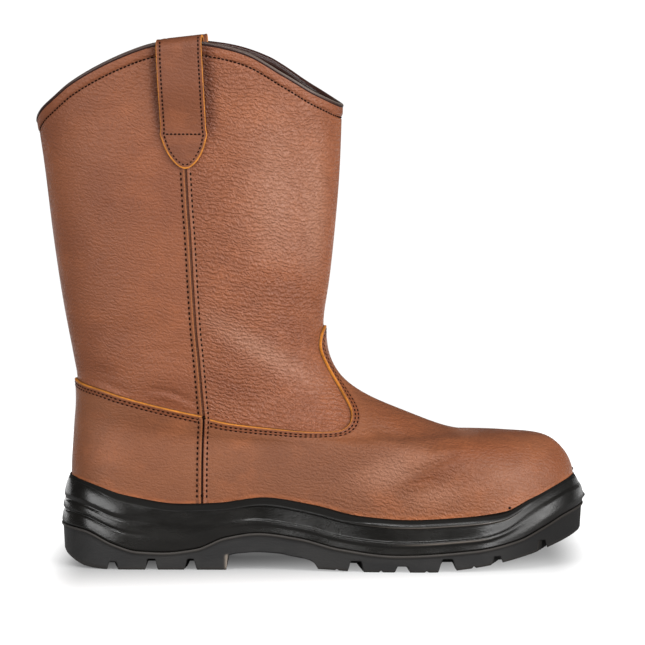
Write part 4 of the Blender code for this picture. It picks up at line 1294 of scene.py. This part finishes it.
def loop_rows(path, normal, side):
    """Thread along both edges of a pull loop, round its tip, and one row across."""
    shown = 3 * LOOP_ROWS + 6
    inward = 2.2
    height, rise, off, half, shift = path[:shown].T
    wide = np.gradient(half)
    tall = np.gradient(rise)
    length = np.maximum(np.hypot(wide, tall), 1e-6)
    offset = np.maximum(half - inward * tall / length, 0.0)
    z = rise + inward * wide / length
    low = np.clip(height + inward * wide / length, LOOP_TIP, LOOP_HIGHEST)
    runs = []
    for edge in (-1.0, 1.0):
        s = seam_s(low) + edge * offset + shift
        v, angle = find(s, low, side)
        wall = np.abs(upper_skin(v, angle)[..., 1])
        lean = LOOP_TILT * ease(low, LOOP_OFF_START, LOOP_TURN) * edge * offset / LOOP_HALF
        points = np.stack([s, side * (wall + off), z + lean], axis=1)
        points = points + normal[:shown] * (LOOP_THICK - 0.1)
        runs.append(stitch_run(points, normal[:shown], FINE_PITCH))
    s = seam_s(LOOP_SQUARE) + np.linspace(-LOOP_HALF + 2.6, LOOP_HALF - 2.6, 30)
    v, angle = find(s, LOOP_SQUARE + 0.2, side)
    row = int(np.argmin(np.abs(height - LOOP_SQUARE)))
    points = upper_skin(v, angle)
    points[:, 1] = points[:, 1] + side * off[row]
    points = points + normal[row] * (LOOP_THICK + 0.05)
    runs.append(stitch_run(points, np.repeat(normal[row][None], len(s), axis=0), CROSS_PITCH))
    return runs


# Sole

def sole_angles(count):
    """Angles round the sole at even steps of its plan's length."""
    turn = np.linspace(0.0, np.pi, 2001)
    halves = []
    for side in (-1.0, 1.0):
        length = lengths(np.stack(sole_ring(side * np.clip(turn, 1e-6, np.pi - 1e-6), 0.0), axis=1))
        halves.append(np.interp(np.linspace(0.0, length[-1], count), length, turn))
    mean = (halves[0] + halves[1]) / 2.0
    return np.concatenate([-mean, mean[::-1][1:-1]])


def sole_row(angles, inward, line, lift=0.0):
    """Loop round the sole at a plan inset, at or over a line of heights."""
    s, y = sole_ring(angles, inward)
    return np.stack([s, y, along(line, s) + lift], axis=-1)


def middle_row(row):
    """A loop round the sole drawn together onto the centre line."""
    drawn = row.copy()
    drawn[:, 1] = centre(row[:, 0])
    return drawn


def side_shares(s):
    """Shares of the heel, waist, forefoot and toe side lines at station s."""
    heel = 1.0 - ease(s, 26.0, 62.0)
    fore = ease(s, 84.0, 126.0)
    toe = ease(s, 246.0, 284.0)
    return heel, (1.0 - heel) * (1.0 - fore), fore * (1.0 - toe), toe


def blend(values, shares):
    """Values of the heel, waist, forefoot and toe mixed by their shares."""
    return sum(value * share for value, share in zip(values, shares))


def rim_height(s):
    """Height of the midsole's rim at station s."""
    return along(FEATHER, s) - along(RIM_DROP, s)


def build_midsole():
    """Midsole: side lines blended along the boot and joined by cubics, a rim, the cup to its floor."""
    angles = sole_angles(330)
    t = (1.0 - np.cos(angles)) / 2.0
    shares = side_shares(SOLE_LENGTH * (1.0 - t))
    steps = np.linspace(0.0, len(SIDE) - 1.0, 68)
    knots = np.arange(len(SIDE), dtype=float)
    lines = [smooth(steps, knots, column)[:, None] for column in SIDE.T]
    up = blend(lines[0::2], shares)
    inward = blend(lines[1::2], shares)
    s, y = sole_ring(angles, inward)
    low = along(PARTING, s) + GAP
    z = low + (rim_height(s) - low) * up
    nub_z, nub_out, nub_wide, nub_tall = TOE_NUB
    nub = nub_out * bell(y - centre(s), 0.0, nub_wide) * bell(z, nub_z, nub_tall)
    nub = nub * (s > SOLE_LENGTH - 20.0)
    foot = blend(FOOT_IN, shares)
    tray = sole_row(angles, 3.7, TRAY, GAP)
    rows = [
        middle_row(tray),
        tray,
        sole_row(angles, 2.9, PARTING, GAP),
        sole_row(angles, foot + 0.35, PARTING, GAP),
        sole_row(angles, foot, PARTING, GAP + 0.15),
    ]
    first = len(rows)
    rows.extend(np.stack([s + nub, y, z], axis=-1))
    last = inward[-1]
    rim = blend(RIM_IN, shares)
    for part, rise in ((0.35, 0.985), (0.7, 1.0)):
        rim_s, rim_y = sole_ring(angles, last + (rim - last) * part)
        top = rim_height(rim_s) + 0.2
        rows.append(np.stack([rim_s, rim_y, low[-1] + (top - low[-1]) * rise], axis=-1))
    rim_s, rim_y = sole_ring(angles, rim)
    rows.append(np.stack([rim_s, rim_y, rim_height(rim_s) - 0.1], axis=-1))
    for v in (1.0, 0.75, 0.5, 0.25, 0.0):
        level = np.full(angles.shape, v)
        cup = upper_skin(level, angles) + 2.0 * skin_ways(level, angles)[2] * IN_PLAN
        cup[:, 2] = cup[:, 2] - GAP * (1.0 - v) - 0.2
        rows.append(cup)
    rows.append(middle_row(rows[-1]))
    points = np.stack(rows)
    station = points[..., 0]
    # Matte and darker just under the leather's edge, reaching further down along the heel and waist, as
    # painted shade under the leather; a little matte at the toe.
    below = rim_height(station) - points[..., 2]
    back = ease(station, 16.0, 34.0) * (1.0 - ease(station, 160.0, 190.0))
    matte_and_shade = np.maximum(1.0 - ease(below - 1.7 * back, 1.5, 2.4), 0.3 * ease(station, 240.0, 262.0))
    # Pale lines along the forefoot's crest and ridge: painted highlights.
    crest = bell(up, 0.785, 0.03) * ease(s, 165.0, 215.0) * (1.0 - ease(s, 250.0, 272.0))
    ridge = bell(up, 0.295, 0.025) * ease(s, 190.0, 222.0) * (1.0 - ease(s, 236.0, 256.0))
    wear_and_painted_light = np.zeros(matte_and_shade.shape)
    wear_and_painted_light[first:first + len(up)] = 0.3 * crest + 0.4 * ridge
    values = {"wear_and_painted_light": wear_and_painted_light, "matte_and_shade": matte_and_shade}
    faces = grid_faces(len(points), len(angles), False, True)
    piece("midsole_wall", points, faces, MIDSOLE, "midsole", values, weld=True)


def tread_lift(s, y, z, inward):
    """Raise the underside into the arch, the side channels and the fine grooves between the lugs."""
    ground = along(GROUND, s)
    hang = 1.6 * ease(inward, 5.0, 20.0)
    arch = np.where((s > ARCH[0, 0]) & (s < ARCH[-1, 0]), along(ARCH, s) - hang, -9.0)
    lifted = np.maximum(z, arch)
    for station, low_half, top_half, top_z, slant, reach in CHANNELS:
        shift = station + slant * np.clip(inward / reach, 0.0, 1.0)
        slope = np.clip((low_half - np.abs(s - shift)) / (low_half - top_half), 0.0, 1.0)
        depth = (top_z * (1.0 - 0.4 * ease(inward, 3.0, 14.0)) + 1.0) * slope - 1.0
        lifted = np.maximum(lifted, np.where(inward < reach, depth, -1.0))
    for station, half, depth in NICKS:
        nick = ground + depth * np.clip(1.0 - np.abs(s - station) / half, 0.0, 1.0)
        lifted = np.where(inward < 12.0, np.maximum(lifted, nick), lifted)
    for first, last, way_in, station, pitch, sweep, height, low, high in BARS:
        wave = np.cos((s - station) * 2.0 * np.pi / pitch + sweep * np.abs(y) / 10.0)
        groove = ground + height * ease(wave, low, high)
        under = (s > first) & (s < last) & (inward > way_in)
        lifted = np.where(under, np.maximum(lifted, groove), lifted)
    return lifted


def build_outsole():
    """Outsole: rim at the parting line, wall, tread edge, then across the underside to the middle."""
    angles = sole_angles(560)
    tray = sole_row(angles, 3.4, TRAY)
    rows = [middle_row(tray), tray]
    rows.extend(sole_row(angles, inward, PARTING, lift) for inward, lift in OUTSOLE_RIM)
    first = len(rows) - 1
    wall_in, wall_top = OUTSOLE_RIM[-1]
    for share in np.linspace(0.0, 1.0, 12)[1:]:
        s, y = sole_ring(angles, wall_in + 0.7 * share)
        high = along(PARTING, s) + wall_top
        foot = along(GROUND, s) + 1.2
        rows.append(np.stack([s, y, high + (foot - high) * share], axis=-1))
    rows.append(sole_row(angles, 2.3, GROUND, 0.4))
    rows.append(sole_row(angles, 3.2, GROUND))
    s, y = sole_ring(angles, 3.2)
    for share in np.linspace(0.0, 1.0, 17)[1:]:
        rows.append(np.stack([s, y + (centre(s) - y) * share, along(GROUND, s)], axis=-1))
    points = np.stack(rows)
    plan_s, plan_y = sole_ring(angles, 0.0)
    inward = np.abs(plan_y - centre(plan_s)) - np.abs(points[..., 1] - centre(points[..., 0]))
    inward = np.maximum(inward, 0.0)
    s, y, z = np.moveaxis(points[first:], -1, 0)
    points[first:, :, 2] = tread_lift(s, y, z, inward[first:])
    rubbed = np.zeros((len(points), 1))
    rubbed[3:8, 0] = (0.5, 0.9, 1.0, 0.8, 0.2)
    rubbed[-19:-16, 0] = (0.35, 0.7, 0.5)
    breast = bell(points[..., 0], 97.6, 0.9) * (points[..., 2] < 8.4) * (inward < 2.6)
    # Pale on the rubbed parting line, the tread's edge and a strip on the heel breast; matte and darker
    # towards the toe.
    values = {
        "wear_and_painted_light": np.maximum(rubbed * 0.13, breast),
        "matte_and_shade": 0.8 * ease(points[..., 0], 225.0, 285.0),
    }
    faces = grid_faces(len(points), len(angles), False, True)
    piece("outsole_tread", points, faces, OUTSOLE, "outsole", values, weld=True)


def build_insole():
    """Footbed: a thin pad following the floor of the cup, its top edge rounded."""
    angles = round_angles(90)
    level = np.zeros(angles.shape)
    base = upper_skin(level, angles)
    flat = unit(skin_ways(level, angles)[2] * IN_PLAN)
    rows = []
    for inward, lift in ((0.6, 0.3), (0.0, 1.0), (0.0, 3.6), (0.3, 4.2), (0.9, 4.5)):
        row = base - (3.6 + inward) * flat
        row[:, 2] = along(FLOOR, row[:, 0]) + lift
        rows.append(row)
    top = rows[-1]
    heel = 1.0 - ease(top[:, 0], 30.0, 110.0)
    for share in np.linspace(0.0, 1.0, 9)[1:]:
        row = top.copy()
        row[:, 1] = row[:, 1] + (centre(row[:, 0]) - row[:, 1]) * share
        row[:, 2] = row[:, 2] - 0.8 * np.sin(np.pi * share / 2.0) * heel
        rows.append(row)
    points = np.stack([middle_row(rows[0])] + rows)
    faces = grid_faces(len(points), len(angles), False, True)
    values = {"drop": points[..., 0]}
    piece("footbed_pad", points, faces, FOOTBED, "insole", values, weld=True)


# Camera, floor and lights

def build_camera():
    """Long lens level with the lower shaft, a little above it, looking square at the outer side."""
    distance = 2.6
    view_width = 0.377325
    lift = np.radians(4.0)
    swing = np.radians(0.3)
    middle_s = 153.0
    middle_z = 0.141
    target = Vector(((middle_s - MID_S) * 0.001, -MID_Y * 0.001, middle_z))
    right = Vector((np.cos(swing), np.sin(swing), 0.0))
    ahead = Vector((-np.sin(swing) * np.cos(lift), np.cos(swing) * np.cos(lift), -np.sin(lift)))
    data = bpy.data.cameras.new("photo_camera")
    data.sensor_width = 36.0
    data.lens = data.sensor_width * distance / view_width
    data.clip_end = 60.0
    made = bpy.data.objects.new("photo_camera", data)
    turn = Matrix((right, right.cross(ahead), -ahead)).transposed()
    made.matrix_world = Matrix.Translation(target - ahead * distance) @ turn.to_4x4()
    bpy.context.scene.collection.objects.link(made)
    bpy.context.scene.camera = made


def soft_box(name, place, aim, width, height, power):
    """Rectangular area light turned towards a height over the middle of the floor."""
    data = bpy.data.lights.new(name, "AREA")
    data.shape = "RECTANGLE"
    data.size = width
    data.size_y = height
    data.energy = power
    made = bpy.data.objects.new(name, data)
    made.location = place
    way = Vector((0.0, 0.0, aim)) - Vector(place)
    made.rotation_euler = way.to_track_quat("-Z", "Y").to_euler()
    bpy.context.scene.collection.objects.link(made)


def build_floor():
    """Round pale floor that glows for the camera as painted light, its glow growing with the way out of
    a slanted oblong under the boot, where the dim glow paints the boot's shadow.
    """
    reach = 0.85
    turn = np.linspace(0.0, 2.0 * np.pi, 96, endpoint=False)
    rim = np.stack([reach * np.cos(turn), reach * np.sin(turn), 0.0 * turn], axis=1)
    mesh = bpy.data.meshes.new("studio_floor")
    mesh.from_pydata(rim.tolist(), [], [tuple(range(len(turn)))])
    look, w, shader, place = material("paper_with_painted_glow_and_shadow")
    seen = w.add("LightPath")["Is Camera Ray"]
    w.feed(shader["Base Color"], w.mix(seen, (0.3, 0.3, 0.3, 1.0), (0.35, 0.35, 0.35, 1.0)))
    slant = (-0.25, 1.0, 0.0)
    shift = (-0.005, -0.06, 0.0)
    half = (0.134, 0.005, 0.0)
    fade = (27.0, 4.0, 1.0)
    slid = w.vector("DOT_PRODUCT", place, slant)["Value"]
    ahead = w.add("SeparateXYZ", {0: place})[0]
    far = w.vector("ADD", w.add("CombineXYZ", {0: ahead, 1: slid})[0], shift)[0]
    far = w.vector("SUBTRACT", w.vector("ABSOLUTE", far)[0], half)[0]
    far = w.vector("MAXIMUM", far, (0.0, 0.0, 0.0))[0]
    away = w.vector("LENGTH", w.scaled(far, fade))["Value"]
    # Painted light for the camera: the floor glows white, dimmest in the oblong under the boot, where it
    # paints the boot's shadow.
    glow = w.math("MULTIPLY", seen, w.span(away, 0.0, 1.0, 0.05, 1.0))
    w.feed(shader["Emission Color"], w.add("CombineXYZ", {0: glow, 1: glow, 2: glow})[0])
    shader["Emission Strength"].default_value = 1.0
    shader["Roughness"].default_value = 0.95
    mesh.materials.append(look)
    floor = bpy.data.objects.new("studio_floor", mesh)
    bpy.context.scene.collection.objects.link(floor)


def build_lights():
    """Pale surroundings, dimmer in glints, four soft boxes in front and a low one behind."""
    world = bpy.data.worlds.new("studio_air")
    world.use_nodes = True
    w = Wiring(world.node_tree)
    ray = w.add("LightPath")
    air = world.node_tree.nodes["Background"].inputs
    air["Color"].default_value = (1.0, 1.0, 1.0, 1.0)
    strength = w.math("MULTIPLY_ADD", ray["Is Camera Ray"], 0.75, 0.3)
    w.feed(air["Strength"], w.math("MULTIPLY_ADD", ray["Is Glossy Ray"], -0.22, strength))
    bpy.context.scene.world = world
    soft_box("key_box", (1.3, -2.0, 0.85), 0.14, 1.2, 1.1, 33.0)
    soft_box("right_box", (2.1, -1.0, 0.55), 0.14, 0.9, 1.2, 44.0)
    soft_box("side_box", (-1.2, -1.25, 0.5), 0.06, 1.5, 0.7, 17.0)
    soft_box("top_strip", (0.0, -1.25, 1.5), 0.1, 1.8, 0.24, 14.0)
    soft_box("low_strip", (0.0, 0.75, 0.07), 0.05, 2.2, 0.14, 1.8)
    bpy.context.scene.view_settings.view_transform = "Standard"
    bpy.context.scene.view_settings.look = "None"


build_camera()
build_floor()
build_lights()
build_upper()
build_lining()
build_binding()
build_overlay("vamp_leather", vamp_edge, 0.0, -1.0, 0.2, 78, vamp_grain, "vamp")
build_overlay("counter_leather", counter_edge, np.pi, 1.0, -0.2, 44, counter_grain, "counter")
build_seam("seam_strip_outer", -1.0, "side_seam_lateral")
build_seam("seam_strip_inner", 1.0, "side_seam_medial")
outer_strap = build_loop("pull_strap_outer", -1.0, "pull_loop_lateral")
inner_strap = build_loop("pull_strap_inner", 1.0, "pull_loop_medial")
edge_runs = overlay_rows(vamp_edge, -1.0) + overlay_rows(counter_edge, 1.0)
strap_runs = loop_rows(*outer_strap, -1.0) + loop_rows(*inner_strap, 1.0)
build_stitches("overlay_thread", edge_runs, 1.0, 0.52)
build_stitches("seam_thread", seam_rows(), 1.0, 0.54)
build_stitches("seam_knots", knot_rows(), 1.25, 1.1)
build_stitches("collar_thread", collar_rows(), 0.95, 0.48)
build_stitches("strap_thread", strap_runs, 0.95, 0.48)
build_midsole()
build_outsole()
build_insole()
